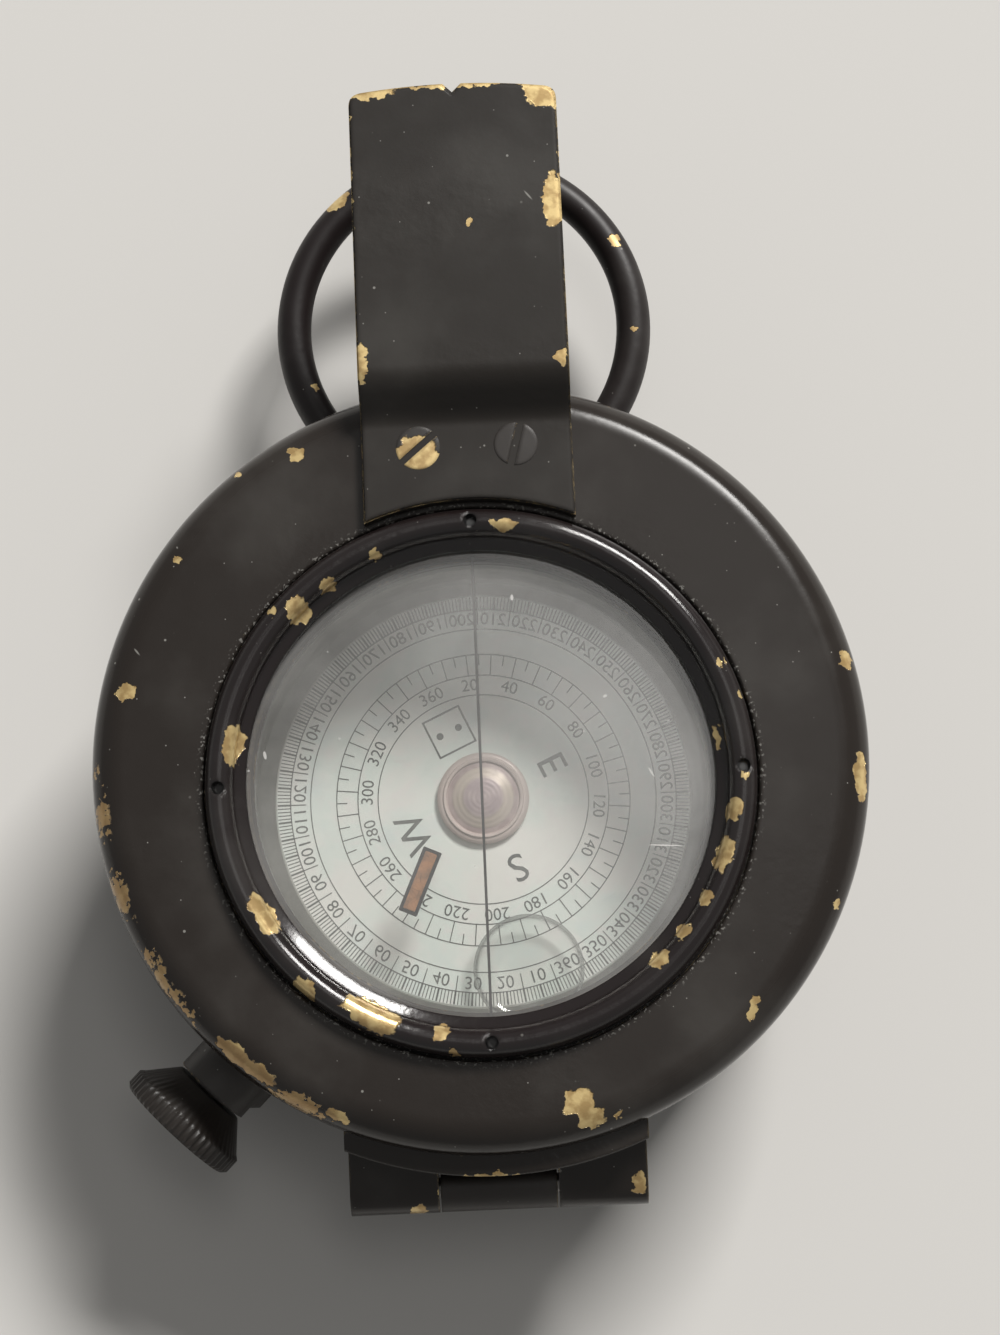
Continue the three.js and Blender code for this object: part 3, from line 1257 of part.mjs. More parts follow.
function bezelGroup() {
  const group = new THREE.Group();
  const glass = disc(bezelGlassRadius, bezelGlassBottom, bezelGlassTop, OUTER_SIDES);
  const snapRing = washer(bezelGlassRadius - SNAP_RING_WIDTH, bezelGlassRadius, snapRingBottom, bezelTop);
  group.add(piece('bezel', bezel(), BLACK_ENAMEL));
  group.add(piece('bezel_glass', glass, CLEAR_GLASS));
  group.add(piece('bezel_snap_ring', snapRing, BRASS));
  group.add(piece('bezel_wire', bezelWire(), STEEL));
  group.add(piece('direction_mark', directionMark(), LUMINOUS));
  return group;
}

function lidGroup() {
  const group = new THREE.Group();
  group.add(piece('lid_shell', lidShell(), BLACK_ENAMEL));
  group.add(piece('lid_window_gasket', windowGasket(), CORK));
  group.add(piece('lid_glass', lidGlass(), CLEAR_GLASS));
  group.add(piece('lid_window_ring', windowRing(), GLOSS_ENAMEL));
  group.add(piece('lid_spot_rear', luminousSpot(0), LUMINOUS));
  group.add(piece('lid_spot_front', luminousSpot(1), LUMINOUS));
  group.add(piece('sight_tongue', sightTongue(), BLACK_ENAMEL));
  group.add(piece('tongue_screw_left', tongueScrew('left'), BRASS));
  group.add(piece('tongue_screw_right', tongueScrew('right'), BLACK_ENAMEL));
  return group;
}

function prismGroup() {
  const group = new THREE.Group();
  group.add(piece('prism_housing', prismHousing(), BLACK_ENAMEL));
  group.add(piece('prism', prism(), CLEAR_GLASS));
  group.add(piece('eye_plate', eyePlate(), BLACK_ENAMEL));
  group.add(piece('eye_screw_left', eyeScrew(-1), BRASS));
  group.add(piece('eye_screw_right', eyeScrew(1), BRASS));
  return group;
}

function clampGroup() {
  const group = new THREE.Group();
  group.add(piece('clamp_bracket', clampBracket(), BLACK_ENAMEL));
  group.add(piece('clamp_pad', clampPad(), BRASS));
  group.add(piece('clamp_screw', clampScrew(), BLACK_ENAMEL));
  group.rotation.z = THREE.MathUtils.degToRad(CLAMP_ANGLE);
  return group;
}

const compass = new THREE.Group();
compass.add(caseGroup(), bowlGroup(), cardGroup(), bezelGroup(), lidGroup(), prismGroup(), clampGroup());
compass.add(piece('sling_ring', slingRing(), BLACK_ENAMEL));

export default compass;
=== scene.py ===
import json
from functools import cached_property
from math import asin, atan, atan2, cos, hypot, pi, radians, sin, sqrt

import bmesh
import bpy
from mathutils import Matrix, Vector


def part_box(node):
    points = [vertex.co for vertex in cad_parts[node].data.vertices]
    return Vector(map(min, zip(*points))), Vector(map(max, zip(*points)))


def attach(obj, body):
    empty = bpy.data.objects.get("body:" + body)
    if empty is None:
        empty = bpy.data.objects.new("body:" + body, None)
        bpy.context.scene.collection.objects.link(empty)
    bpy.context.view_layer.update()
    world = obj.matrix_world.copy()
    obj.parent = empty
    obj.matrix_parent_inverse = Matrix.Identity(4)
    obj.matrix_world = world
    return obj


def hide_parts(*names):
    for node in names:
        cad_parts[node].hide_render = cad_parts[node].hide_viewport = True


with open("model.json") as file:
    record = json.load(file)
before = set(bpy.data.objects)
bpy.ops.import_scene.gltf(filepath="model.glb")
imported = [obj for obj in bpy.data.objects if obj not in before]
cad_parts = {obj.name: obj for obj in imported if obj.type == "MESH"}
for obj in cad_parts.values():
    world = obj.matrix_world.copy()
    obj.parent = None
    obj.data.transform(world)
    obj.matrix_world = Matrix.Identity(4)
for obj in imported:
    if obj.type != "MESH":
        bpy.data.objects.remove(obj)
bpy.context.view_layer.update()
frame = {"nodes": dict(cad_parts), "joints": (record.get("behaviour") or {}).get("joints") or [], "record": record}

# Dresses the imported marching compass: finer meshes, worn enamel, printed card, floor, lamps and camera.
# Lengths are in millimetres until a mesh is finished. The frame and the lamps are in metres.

MM = 0.001

# Fits and facets
SEAT_GAP = 0.05
RUNNING_GAP = 0.3
EDGE_BREAK = 0.15  # small chamfer on turned edges
DRILL_OVERRUN = 1.0
WELD = 0.002
FINE_SIDES = 192
ROUND_SIDES = 96
SMALL_SIDES = 40
CURVE_STEPS = 24
LETTER_STEPS = 3
SHARP_ANGLE = 38  # degrees; sharper edges stay creased

# Lid, window and hinge
LID_LIFT = 0.6
LID_PLATE = 1.5
LID_WALL = 1.6
LID_ROUND = 2.9
LID_ROUND_STEPS = 14
WINDOW_RING_WIDTH = 3.2
WINDOW_RING_CROWN = 1.5
WINDOW_RING_PLAY = 0.2
WINDOW_RING_STEPS = 20
WINDOW_BEVEL_WIDTH = 0.9
WINDOW_BEVEL_FALL = 0.45
WINDOW_LEDGE_LAP = 0.4
WINDOW_LEDGE_HEIGHT = 1.0
WINDOW_GASKET = 0.35
WINDOW_BOSS_WALL = 1.3
SPANNER_HOLE_RADIUS = 0.52
SPANNER_HOLE_DEPTH = 1.2
SPANNER_HOLES = 4
HINGE_LEAF_GAP = 0.4
HINGE_LEAF = 1.1
HINGE_LEAF_TOP = 1.45
HINGE_FLANGE_REACH = 3.4
HINGE_BARREL_RADIUS = 2.0
HINGE_BARREL_ARC = (100, 360)  # degrees
HINGE_HALF = 12.0
KNUCKLE_INNER = 4.85

# Sighting tongue and its screws
TONGUE_THICKNESS = 1.1
TONGUE_TIP_WIDTH = 17.0
TONGUE_TIP_STEPS = 8
TONGUE_CORNER = 1.0
TONGUE_CORNER_STEPS = 6
TONGUE_ROOT_GAP = 0.7
TONGUE_FOOT = 7.0
TONGUE_RAMP_RUN = 2.8
TONGUE_BEND = 0.9
TONGUE_EDGE = 0.14
NOTCH_WIDTH = 1.5
NOTCH_DEPTH = 0.75
SCREW_SHANK = 0.5  # share of the head's radius
SCREW_CONE_DEPTH = 0.8
SCREW_RIM_DEPTH = 0.2
SCREW_SLOT_WIDTH = 0.55
SCREW_SLOT_DEPTH = 0.45
SCREW_SLOTS = {"tongue_screw_left": 40, "tongue_screw_right": 75}  # degrees

# Sling ring, clamp knob, bezel and case
RING_WIRE_RADIUS = 1.5
RING_OFFSET = 10.0
RING_STUB_END = 5.0
RING_CORNER = 1.4
RING_CORNER_STEPS = 8
KNOB_SHANK_START = 1.9  # beyond the bezel
KNOB_CONE_START = 3.75  # beyond the bezel
KNOB_SHANK_RADIUS = 1.5
KNOB_SMALL_RADIUS = 3.3
KNOB_CONE_RADIUS = 5.1
KNOB_CONE_LENGTH = 2.2
KNOB_RIM_RADIUS = 5.45
KNOB_RIM_WIDTH = 1.8
KNOB_RIM_CHAMFER = 0.3
KNOB_DISH_RADIUS = 3.9
KNOB_DISH_FLAT = 2.34
KNOB_DISH_DEPTH = 0.4
KNOB_TEETH = 52
KNURL_DEPTH = 0.22
BEZEL_WALL = 1.9
BEZEL_LEDGE = 2.5
BEZEL_LEDGE_HEIGHT = 1.2
BEZEL_BAND = 3.8
BEZEL_BAND_BREAK = 0.1
BEZEL_CHAMFER = 0.3
BEZEL_TEETH = 90
TOOTH_DEPTH = 0.3
TOOTH_RELIEF = 0.35  # where the teeth end
CASE_FOOT = 0.4
CASE_SHOULDER = 0.8
WIRE_GROOVE = 0.45
WIRE_PLAY = 0.19
BOWL_FLOOR = 1.4
GASKET_LEDGE = 2.0
DIAPHRAGM_LEDGE = 1.6
PIVOT_BORE = 0.85
WASHER_WIDTHS = {
    "base_rubber_ring": 4.4,
    "bowl_gasket": 1.4,
    "bowl_lock_ring": 1.6,
    "bezel_snap_ring": 1.0,
    "lid_window_gasket": 2.0,
}
PANES = ("lid_glass", "bezel_glass", "bowl_glass")

# Card and cap, then the print from the pivot outwards
CARD_HEADING = 24.5  # degrees from +Y to the card's north, counter-clockwise
CARD_BORE = 2.5
CAP_BORE = 1.4
CAP_HUB = 2.2
CAP_HEIGHT = 1.1
CAP_ROOF = 0.6
CAP_SHOULDER = (1.75, 0.98)  # radius, height above the seat
CAP_RINGS = (  # in from the rim, height above the seat
    (0, 0.4), (0.12, 0.5), (0.45, 0.55), (0.55, 0.7), (0.75, 0.68), (0.85, 0.5), (1.05, 0.52), (1.45, 0.7),
)
INK_HEIGHT = 0.02
INK_LINE = 0.09
BOLD_LINE = 0.16
LETTER_RADIUS = 6.4
LETTER_SIZE = 3.4
NORTH_HALF = 1.75
NORTH_DOT = 0.3
INNER_CIRCLE = 8.9
INNER_FIGURES = 9.75
INNER_SIZE = 1.45
TICK_INNER = 10.6
TICK_OUTER = 12.4
OUTER_CIRCLE = 14.6
OUTER_TICK_GAP = 0.4
OUTER_FIGURES = 15.45
OUTER_SIZE = 1.5
RIM_INNER = 16.3
RIM_OUTER = 17.4

# Direction mark, sighting line and air bubble
MARK_CENTRE = (-5.4, -7.25)
MARK_TURN = 246  # degrees
MARK_LENGTH = 5.6
MARK_WIDTH = 1.6
MARK_BORDER = 0.28
MARK_BORDER_DROP = 0.1
MARK_FIT = 0.02
MARK_ROUND = 0.05
HAIRLINE_WIDTH = 0.22
HAIRLINE_HEIGHT = 0.02
BUBBLE_CENTRE = (3.2, -14.6)
BUBBLE_RADIUS = 4.6
BUBBLE_DEPTH = 1.3
BUBBLE_STEPS = 24

# Camera of the photograph
PHOTO_SIZE = (1000, 1335)  # pixels
WINDOW_PIXEL = (481, 779)
FOCAL_PIXELS = 2457
WINDOW_DISTANCE = 195.0
CAMERA_TILT = 10.0  # degrees from straight down
CAMERA_ROLL = 2.5  # degrees the object stands turned in the frame
SENSOR = 36.0
NEAR_CLIP = 0.01  # metres

# Floor, lamps and world
FLOOR_HALF = 3000
FLOOR_DROP = 0.1
LAMP_TINT = (1.0, 0.98, 0.95)
KEY_AZIMUTH = 60  # degrees from +X towards +Y
KEY_ELEVATION = 40
KEY_DISTANCE = 5.0
KEY_WIDTH = 1.8
KEY_HEIGHT = 1.1
KEY_POWER = 318.0
VEIL_PLACE = (0.060, 0.113, 0.623)  # its near edge mirrors across the glass from upper left to lower right
VEIL_SPIN = -62
VEIL_WIDTH = 0.26
VEIL_HEIGHT = 0.18
VEIL_POWER = 0.27
VEIL_FADE = 0.45
WORLD_STRENGTH = 0.18
BACKDROP_STRENGTH = 0.36  # the world as eye, metal and glass see it, level with the far floor
PANE_BOUNCES = 24  # three panes over the card: light crosses six faces on its way in and six on its way out


def rgb(red, green, blue):
    return (red, green, blue, 1.0)


# Colours and wear
SATIN_BLACK = rgb(0.021, 0.017, 0.0145)
TONGUE_BLACK = rgb(0.020, 0.017, 0.0145)
GLOSS_BLACK = rgb(0.011, 0.0075, 0.0075)
BRASS_BRIGHT = rgb(0.70, 0.53, 0.25)
BRASS_DULL = rgb(0.44, 0.30, 0.13)
BRASS_BROWN = rgb(0.33, 0.21, 0.10)
DUST = rgb(0.42, 0.41, 0.38)
FLOOR_PALE = rgb(0.66, 0.65, 0.63)
SKY_PALE = rgb(1.0, 0.99, 0.97)
CAP_MIDDLE = rgb(0.42, 0.33, 0.34)
CAP_TONES = (  # each blends in from one radius to another
    (1.5, 1.9, rgb(0.58, 0.49, 0.41)), (2.45, 2.7, rgb(0.40, 0.30, 0.29)), (2.9, 3.2, rgb(0.60, 0.50, 0.46)),
)
CHIP_DEPTH = 1.1
CHIP_RAGGED = 1.5  # how far noise pulls the outline of a chip about
EDGE_ROUND = 0.45  # how much of each edge the paint rounds off
TOOTH_ROUND = 0.12
POLISH = (2.4, 1.4)  # in from the lid's edge, where its rubbed rim starts and is full
POLISH_GAIN = 0.19
SPECKS = ((0.55, 0.075, 0.62), (1.3, 0.09, 0.7))  # cells to a millimetre, size in a cell, share without one


def box(node):
    low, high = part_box(node)
    return Vector(low) / MM, Vector(high) / MM


# Levels and radii read from the frame
lid_high = box("lid_shell")[1]
ring_low, ring_high = box("lid_window_ring")
pane_low, pane_high = box("lid_glass")
bezel_low, bezel_high = box("bezel")
tongue_low, tongue_high = box("sight_tongue")
card_high = box("card")[1]
bowl_low, bowl_high = box("liquid_bowl")
case_radius = box("case_body")[1].x
lid_radius = lid_high.x
lid_centre = lid_high.y - lid_radius
lid_top = lid_high.z
skirt_bottom = bezel_high.z + LID_LIFT
joint = {entry["name"]: entry for entry in frame["joints"]}
hinge_y, hinge_z = (value / MM for value in joint["lid_hinge"]["pos_m"][1:])


# Points
def spread(start, end, steps):
    return [start + (end - start) * i / steps for i in range(steps + 1)]


def polar(radius, degrees):
    return radius * cos(radians(degrees)), radius * sin(radians(degrees))


def arc(radius, centre, start, end, steps):
    """Points on an arc, from one angle to another in degrees."""
    points = [polar(radius, degrees) for degrees in spread(start, end, steps)]
    return [(centre[0] + x, centre[1] + y) for x, y in points]


def bend(first, corner, last, steps):
    """Points of a smooth bend between two points round a corner."""
    return [first.lerp(corner, t).lerp(corner.lerp(last, t), t) for t in spread(0, 1, steps)]


def chord(radius, x):
    """Y of a circle about the card axis."""
    return sqrt(radius ** 2 - x ** 2)


# Mesh building
def turned(profile, sides=FINE_SIDES, closed=True):
    """A body turned about Z from points (radius, height) or (radius, height, centre y)."""
    bm = bmesh.new()
    rings = []
    for radius, height, *centre in profile:
        middle = centre[0] if centre else 0.0
        points = [polar(radius, 360 * i / sides) for i in range(sides if radius > 0 else 1)]
        rings.append([bm.verts.new((x, middle + y, height)) for x, y in points])
    for first, second in zip(rings, rings[1:] + rings[:1] if closed else rings[1:]):
        a, b = len(first), len(second)
        for i in range(sides):
            j = (i + 1) % sides
            corners = dict.fromkeys((first[i % a], first[j % a], second[j % b], second[i % b]))
            if len(corners) > 2:
                bm.faces.new(list(corners))
    return bm


def swept(sections):
    """A body with flat ends that joins equal rings of points."""
    bm = bmesh.new()
    rings = [[bm.verts.new(point) for point in section] for section in sections]
    for first, second in zip(rings, rings[1:]):
        for i in range(len(first)):
            j = (i + 1) % len(first)
            bm.faces.new((first[i], first[j], second[j], second[i]))
    bm.faces.new(rings[0][::-1])
    bm.faces.new(rings[-1])
    return bm


def slab(x0, y0, x1, y1, low, high):
    """A block between two corners in plan and two heights."""
    corners = [(x0, y0), (x1, y0), (x1, y1), (x0, y1)]
    return swept([[(x, y, z) for x, y in corners] for z in (low, high)])


def tube(path, radius, sides):
    """A round wire along a path that lies flat."""
    up = Vector((0, 0, 1))
    sections = []
    for i, point in enumerate(path):
        along = (path[min(i + 1, len(path) - 1)] - path[max(i - 1, 0)]).normalized()
        side = along.cross(up)
        spots = [polar(radius, 360 * k / sides) for k in range(sides)]
        sections.append([point + across * side + rise * up for across, rise in spots])
    return swept(sections)


def rounded(bm, edges, width):
    bm.normal_update()
    bmesh.ops.bevel(bm, geom=edges, offset=width, segments=2, affect="EDGES", clamp_overlap=True)


def mill(bm, radius, low, high, depth, teeth):
    """Draws half of the outer points in, so that straight teeth stand between two heights."""
    for vert in bm.verts:
        reach = hypot(vert.co.x, vert.co.y)
        if reach > radius - depth / 4 and low < vert.co.z < high:
            phase = (atan2(vert.co.y, vert.co.x) / (2 * pi) * teeth + 1 / 8) % 1
            share = (radius - depth * (phase > 1 / 2)) / reach
            vert.co.x *= share
            vert.co.y *= share


def in_scene(name, data):
    thing = bpy.data.objects.new(name, data)
    bpy.context.scene.collection.objects.link(thing)
    return thing


def carved(bm, cutter):
    """One body without another."""
    pair = []
    for shape in (bm, cutter):
        bmesh.ops.recalc_face_normals(shape, faces=shape.faces)
        mesh = bpy.data.meshes.new("carving")
        shape.to_mesh(mesh)
        shape.free()
        pair.append(in_scene("carving", mesh))
    body, tool = pair
    modifier = body.modifiers.new("carve", "BOOLEAN")
    modifier.operation = "DIFFERENCE"
    modifier.solver = "EXACT"
    modifier.object = tool
    result = bmesh.new()
    result.from_mesh(body.evaluated_get(bpy.context.evaluated_depsgraph_get()).to_mesh())
    for mesh in (body.data, tool.data):
        bpy.data.meshes.remove(mesh)  # its object goes with it
    return result


def add(bm, other, matrix=Matrix()):
    """Adds another body, placed by a matrix."""
    other.transform(matrix)
    mesh = bpy.data.meshes.new("added")
    other.to_mesh(mesh)
    other.free()
    bm.from_mesh(mesh)
    bpy.data.meshes.remove(mesh)


def drilled(bm, holes):
    """The body without round holes, each (x, y, radius, bottom, top)."""
    drills = bmesh.new()
    for x, y, radius, bottom, top in holes:
        drill = turned([(0, bottom), (radius, bottom), (radius, top), (0, top)], SMALL_SIDES, closed=False)
        add(drills, drill, Matrix.Translation((x, y, 0)))
    return carved(bm, drills)


def mesh_of(bm, name):
    bmesh.ops.recalc_face_normals(bm, faces=bm.faces)
    for face in bm.faces:
        face.smooth = True
    for edge in bm.edges:
        edge.smooth = len(edge.link_faces) != 2 or edge.calc_face_angle(0) < radians(SHARP_ANGLE)
    bm.transform(Matrix.Scale(MM, 4))
    mesh = bpy.data.meshes.new(name)
    bm.to_mesh(mesh)
    bm.free()
    return mesh


def piece(name, bm, material, body, stands_for=()):
    """A finished piece that rides on a body and stands for some nodes."""
    thing = in_scene(name, mesh_of(bm, name))
    thing.data.materials.append(material)
    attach(thing, body)
    if stands_for:
        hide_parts(*stands_for)


# Shader building
class Value:
    """One output of a shader graph, with + - * and | for the larger of two. The other side may be a number."""

    def __init__(self, graph, socket):
        self.graph = graph
        self.socket = socket

    def __add__(self, other):
        return self.graph.math("ADD", self, other)

    def __sub__(self, other):
        return self.graph.math("SUBTRACT", self, other)

    def __rsub__(self, other):
        return self.graph.math("SUBTRACT", other, self)

    def __mul__(self, other):
        return self.graph.math("MULTIPLY", self, other)

    def __or__(self, other):
        return self.graph.math("MAXIMUM", self, other)

    def __abs__(self):
        return self.graph.math("ABSOLUTE", self)

    def ramp(self, low, high, first=0.0, second=1.0):
        """Goes smoothly from first to second while this value goes from low to high."""
        inputs = {"Value": self, "From Min": low, "From Max": high, "To Min": first, "To Max": second}
        return self.graph.node("MapRange", inputs, interpolation_type="SMOOTHSTEP")

    def mix(self, first, second):
        """A colour between two colours."""
        return self.graph.node("Mix", {0: self, 6: first, 7: second}, 2, data_type="RGBA")


class Graph:
    """Short calls for the shader nodes of a material, a lamp or the world."""

    def __init__(self, owner):
        owner.use_nodes = True
        self.owner = owner
        self.nodes = owner.node_tree.nodes

    def feed(self, socket, value):
        if isinstance(value, Value):
            self.owner.node_tree.links.new(value.socket, socket)
        else:
            socket.default_value = value

    def add(self, kind, inputs, **settings):
        made = self.nodes.new(f"ShaderNode{kind}")
        for key, value in settings.items():
            setattr(made, key, value)
        for key, value in inputs.items():
            self.feed(made.inputs[key], value)
        return made

    def values(self, kind, inputs, *outputs, **settings):
        """Several outputs of a new node."""
        made = self.add(kind, inputs, **settings)
        return [Value(self, made.outputs[output]) for output in outputs]

    def node(self, kind, inputs, output=0, **settings):
        """One output of a new node."""
        return self.values(kind, inputs, output, **settings)[0]

    def math(self, operation, first, second=0.0, clamp=False):
        return self.node("Math", {0: first, 1: second}, operation=operation, use_clamp=clamp)

    def vector(self, operation, first, second=(0, 0, 0)):
        output = "Value" if operation in ("LENGTH", "DOT_PRODUCT") else "Vector"
        return self.node("VectorMath", {0: first, 1: second}, output, operation=operation)

    @cached_property
    def place(self):
        """Object coordinates in millimetres."""
        return self.vector("MULTIPLY", self.node("TexCoord", {}, "Object"), 3 * (1 / MM,))

    def reach(self, centre=(0, 0, 0)):
        """Distance from an upright axis."""
        aside = self.vector("SUBTRACT", self.place, centre)
        return self.vector("LENGTH", self.vector("MULTIPLY", aside, (1, 1, 0)))

    def noise(self, scale, detail=3.0, output="Fac", place=None):
        return self.node("TexNoise", {"Vector": place or self.place, "Scale": scale, "Detail": detail}, output)

    def dots(self, scale, outer, inner, rare, place=None):
        """Soft dots in the cells of a random pattern, with a share of the cells empty."""
        inputs = {"Vector": place or self.place, "Scale": scale}
        distance, chance = self.values("TexVoronoi", inputs, "Distance", "Color")
        return distance.ramp(outer, inner) * chance.ramp(rare, rare + 0.04)

    def bump(self, height, depth, **normal):
        """Relief whose height runs from 0 to 1 over a depth in millimetres."""
        return self.node("Bump", {"Height": height, "Distance": depth * MM, "Strength": 1.0, **normal})

    def surface(self, shader):
        """Gives the material its shader."""
        self.add("OutputMaterial", {"Surface": shader})
        return self.owner

    def principled(self, **inputs):
        named = {key.replace("_", " ").title().replace("Ior", "IOR"): value for key, value in inputs.items()}
        return self.surface(self.node("BsdfPrincipled", named))


def blank(name):
    """The graph of a new material, with no nodes yet."""
    graph = Graph(bpy.data.materials.new(name))
    graph.nodes.clear()
    return graph


# Materials
def chip_distance(graph, place, chips, depth=CHIP_DEPTH):
    """Distance to the nearest chip, 1 at its edge. A chip is (x, y, z, length, width, turn)."""
    nearest = None
    for x, y, z, length, width, turn in chips:
        inputs = {
            "Vector": place,
            "Location": (x, y, z),
            "Rotation": (0, 0, radians(turn)),
            "Scale": (length / 2, width / 2, depth),
        }
        distance = graph.vector("LENGTH", graph.node("Mapping", inputs, vector_type="TEXTURE"))
        nearest = graph.math("MINIMUM", nearest, distance) if nearest else distance
    return nearest


def dust(graph, specks, groove):
    """Share of dust on enamel: drawn scratches, specks and a thin film, and, along a round groove, painted glints:
    pale grains that stand in for light glinting on rough paint.
    """
    slanted = graph.node("VectorRotate", {"Vector": graph.place, "Angle": 0.9})
    marks = graph.dots(0.5, 0.05, 0.02, 0.6, graph.vector("MULTIPLY", slanted, (0.16, 1.0, 1.0)))
    for scale, size, rare in SPECKS:
        marks = marks | graph.dots(scale, size, 0.6 * size, rare)
    marks = marks * (0.5 * specks)
    if groove:
        # painted glints: pale dust-coloured grains in a band beside the groove stand in for light glinting off
        # rough paint there
        glint_band = abs(graph.reach() - groove).ramp(0.7, 0.1)
        marks = marks | graph.noise(3.6).ramp(0.58, 0.64, 0.0, 0.5) * glint_band
    film = graph.noise(0.09, 5.0).ramp(0.45, 0.75) * 0.05
    return graph.math("ADD", marks, film, clamp=True)


def enamel(name, colour, roughness, chips=(), zones=(), wear=0.5, specks=1.0, depth=CHIP_DEPTH, groove=0,
           shine=0.5, edge=EDGE_ROUND, polished=None):
    """Black enamel over brass, bare at its chips, thin in its worn zones and along its edges."""
    graph = blank(name)
    grit = graph.noise(2.2, 5.0)
    edges = graph.node("Bevel", {"Radius": edge * MM}, samples=4)
    sharp = 1.0 - graph.vector("DOT_PRODUCT", edges, graph.node("NewGeometry", {}, "Normal"))
    bare = (sharp * grit * graph.noise(0.22, 2.0)).ramp(0.06 / wear, 0.075 / wear)
    brass = graph.noise(0.9, 4.0).ramp(0.4, 0.62).mix(BRASS_BRIGHT, BRASS_DULL)
    if chips:
        warp = graph.vector("SUBTRACT", graph.noise(1.3, 4.0, "Color"), 3 * (0.5,))
        ragged = graph.vector("ADD", graph.place, graph.vector("MULTIPLY", warp, 3 * (CHIP_RAGGED,)))
        bare = bare | chip_distance(graph, ragged, chips, depth).ramp(1.0, 0.9)
    if zones:
        near = graph.math("SUBTRACT", 1.0, chip_distance(graph, graph.place, zones), clamp=True)
        thin = near * 0.3 + graph.noise(0.3, 2.0).ramp(0.4, 0.62) * 0.3 + grit
        bare = bare | thin.ramp(0.82, 0.86) * near.ramp(0.05, 0.2)
        brass = near.ramp(0.0, 0.15, 0.0, 0.75).mix(brass, BRASS_BROWN)
    # dust, scratches and film, and where a groove is given, painted glints beside it; dusty carries both
    dusty = dust(graph, specks, groove)
    gloss = graph.noise(0.5, 5.0) * 0.14 + roughness
    if polished:
        radius, middle = polished
        start, full = (radius - inset for inset in POLISH)
        gloss = gloss - graph.reach((0, middle, 0)).ramp(start, full, 0.0, POLISH_GAIN)
    peel = graph.noise(1.2) * graph.noise(0.07, 2.0).ramp(0.48, 0.62, 0.02, 0.5)
    relief = peel + graph.noise(2.6, 4.0) * 0.09 - bare
    return graph.principled(
        base_color=bare.mix(dusty.mix(colour, DUST), brass),
        metallic=bare * 0.45,
        roughness=gloss + dusty * 0.3,
        normal=graph.bump(relief, 0.05, Normal=edges),
        specular_ior_level=shine,
    )


def metal(name, bright, dull, roughness, lines=0.0):
    """Bare metal with tarnish, fine scratches and, where asked, turning marks."""
    graph = blank(name)
    scratch = graph.noise(0.9, 4.0, place=graph.vector("MULTIPLY", graph.place, (9.0, 0.6, 3.0)))
    relief = graph.math("SINE", graph.reach() * lines) if lines else scratch
    return graph.principled(
        base_color=graph.noise(0.6, 5.0).ramp(0.35, 0.68).mix(bright, dull),
        metallic=0.9,
        roughness=scratch.ramp(0.3, 0.7, roughness - 0.08, roughness + 0.1),
        normal=graph.bump(relief, 0.01),
    )


def mottled(name, first, second, scale, roughness, band=(0.35, 0.65), relief=0.06):
    """Rubber, cork, paint or ink: two colours in uneven patches, slightly rough."""
    graph = blank(name)
    grain = graph.noise(scale, 5.0)
    return graph.principled(
        base_color=grain.ramp(*band).mix(first, second),
        roughness=grain.ramp(0.3, 0.7, roughness - 0.1, roughness + 0.05),
        normal=graph.bump(grain, relief),
    )


def ink(name, first, second):
    return mottled(name, first, second, 0.7, 0.55, band=(0.4, 0.7), relief=0.0)


def pearl():
    """Mother-of-pearl: pale, faintly green and pink in slow swirls."""
    graph = blank("pearl")
    swirl = graph.vector("MULTIPLY", graph.noise(0.12, 3.0, "Color"), (9, 9, 9))
    swirl = graph.vector("ADD", graph.place, swirl)
    bands = graph.noise(0.16, 4.0, place=swirl)
    fine = graph.noise(0.9, 5.0, place=swirl)
    tint = bands.ramp(0.4, 0.6).mix(rgb(0.86, 0.93, 0.87), rgb(0.94, 0.93, 0.88))
    tint = fine.ramp(0.5, 0.72, 0.0, 0.5).mix(tint, rgb(0.93, 0.87, 0.85))
    tint = graph.noise(0.25, 2.0).ramp(0.55, 0.75, 0.0, 0.5).mix(tint, rgb(0.72, 0.83, 0.82))
    return graph.principled(
        base_color=tint,
        roughness=bands.ramp(0.3, 0.7, 0.22, 0.38),
        normal=graph.bump(fine, 0.01),
        coat_weight=0.3,
    )


def bronze():
    """Turned cap of the card: pinkish bronze in paler and darker rings."""
    graph = blank("cap_bronze")
    reach = graph.reach()
    stain = graph.noise(0.8, 5.0)
    tone = CAP_MIDDLE
    for start, end, colour in CAP_TONES:
        tone = reach.ramp(start, end).mix(tone, colour)
    return graph.principled(
        base_color=stain.ramp(0.4, 0.65, 0.0, 0.4).mix(tone, rgb(0.60, 0.50, 0.47)),
        metallic=0.15,
        roughness=stain.ramp(0.3, 0.7, 0.32, 0.48),
        normal=graph.bump(graph.math("SINE", reach * 16.0), 0.006),
    )


def luminous():
    """Aged luminous paint: orange-brown, stained and crazed."""
    graph = blank("luminous")
    stain = graph.noise(1.1, 5.0)
    crack = graph.node("TexVoronoi", {"Vector": graph.place, "Scale": 1.6}, feature="DISTANCE_TO_EDGE")
    tone = stain.ramp(0.35, 0.65).mix(rgb(0.42, 0.20, 0.09), rgb(0.24, 0.13, 0.07))
    return graph.principled(
        base_color=crack.ramp(0.03, 0.0, 0.0, 0.6).mix(tone, rgb(0.08, 0.05, 0.03)),
        roughness=stain.ramp(0.3, 0.7, 0.55, 0.75),
        normal=graph.bump(stain, 0.05),
    )


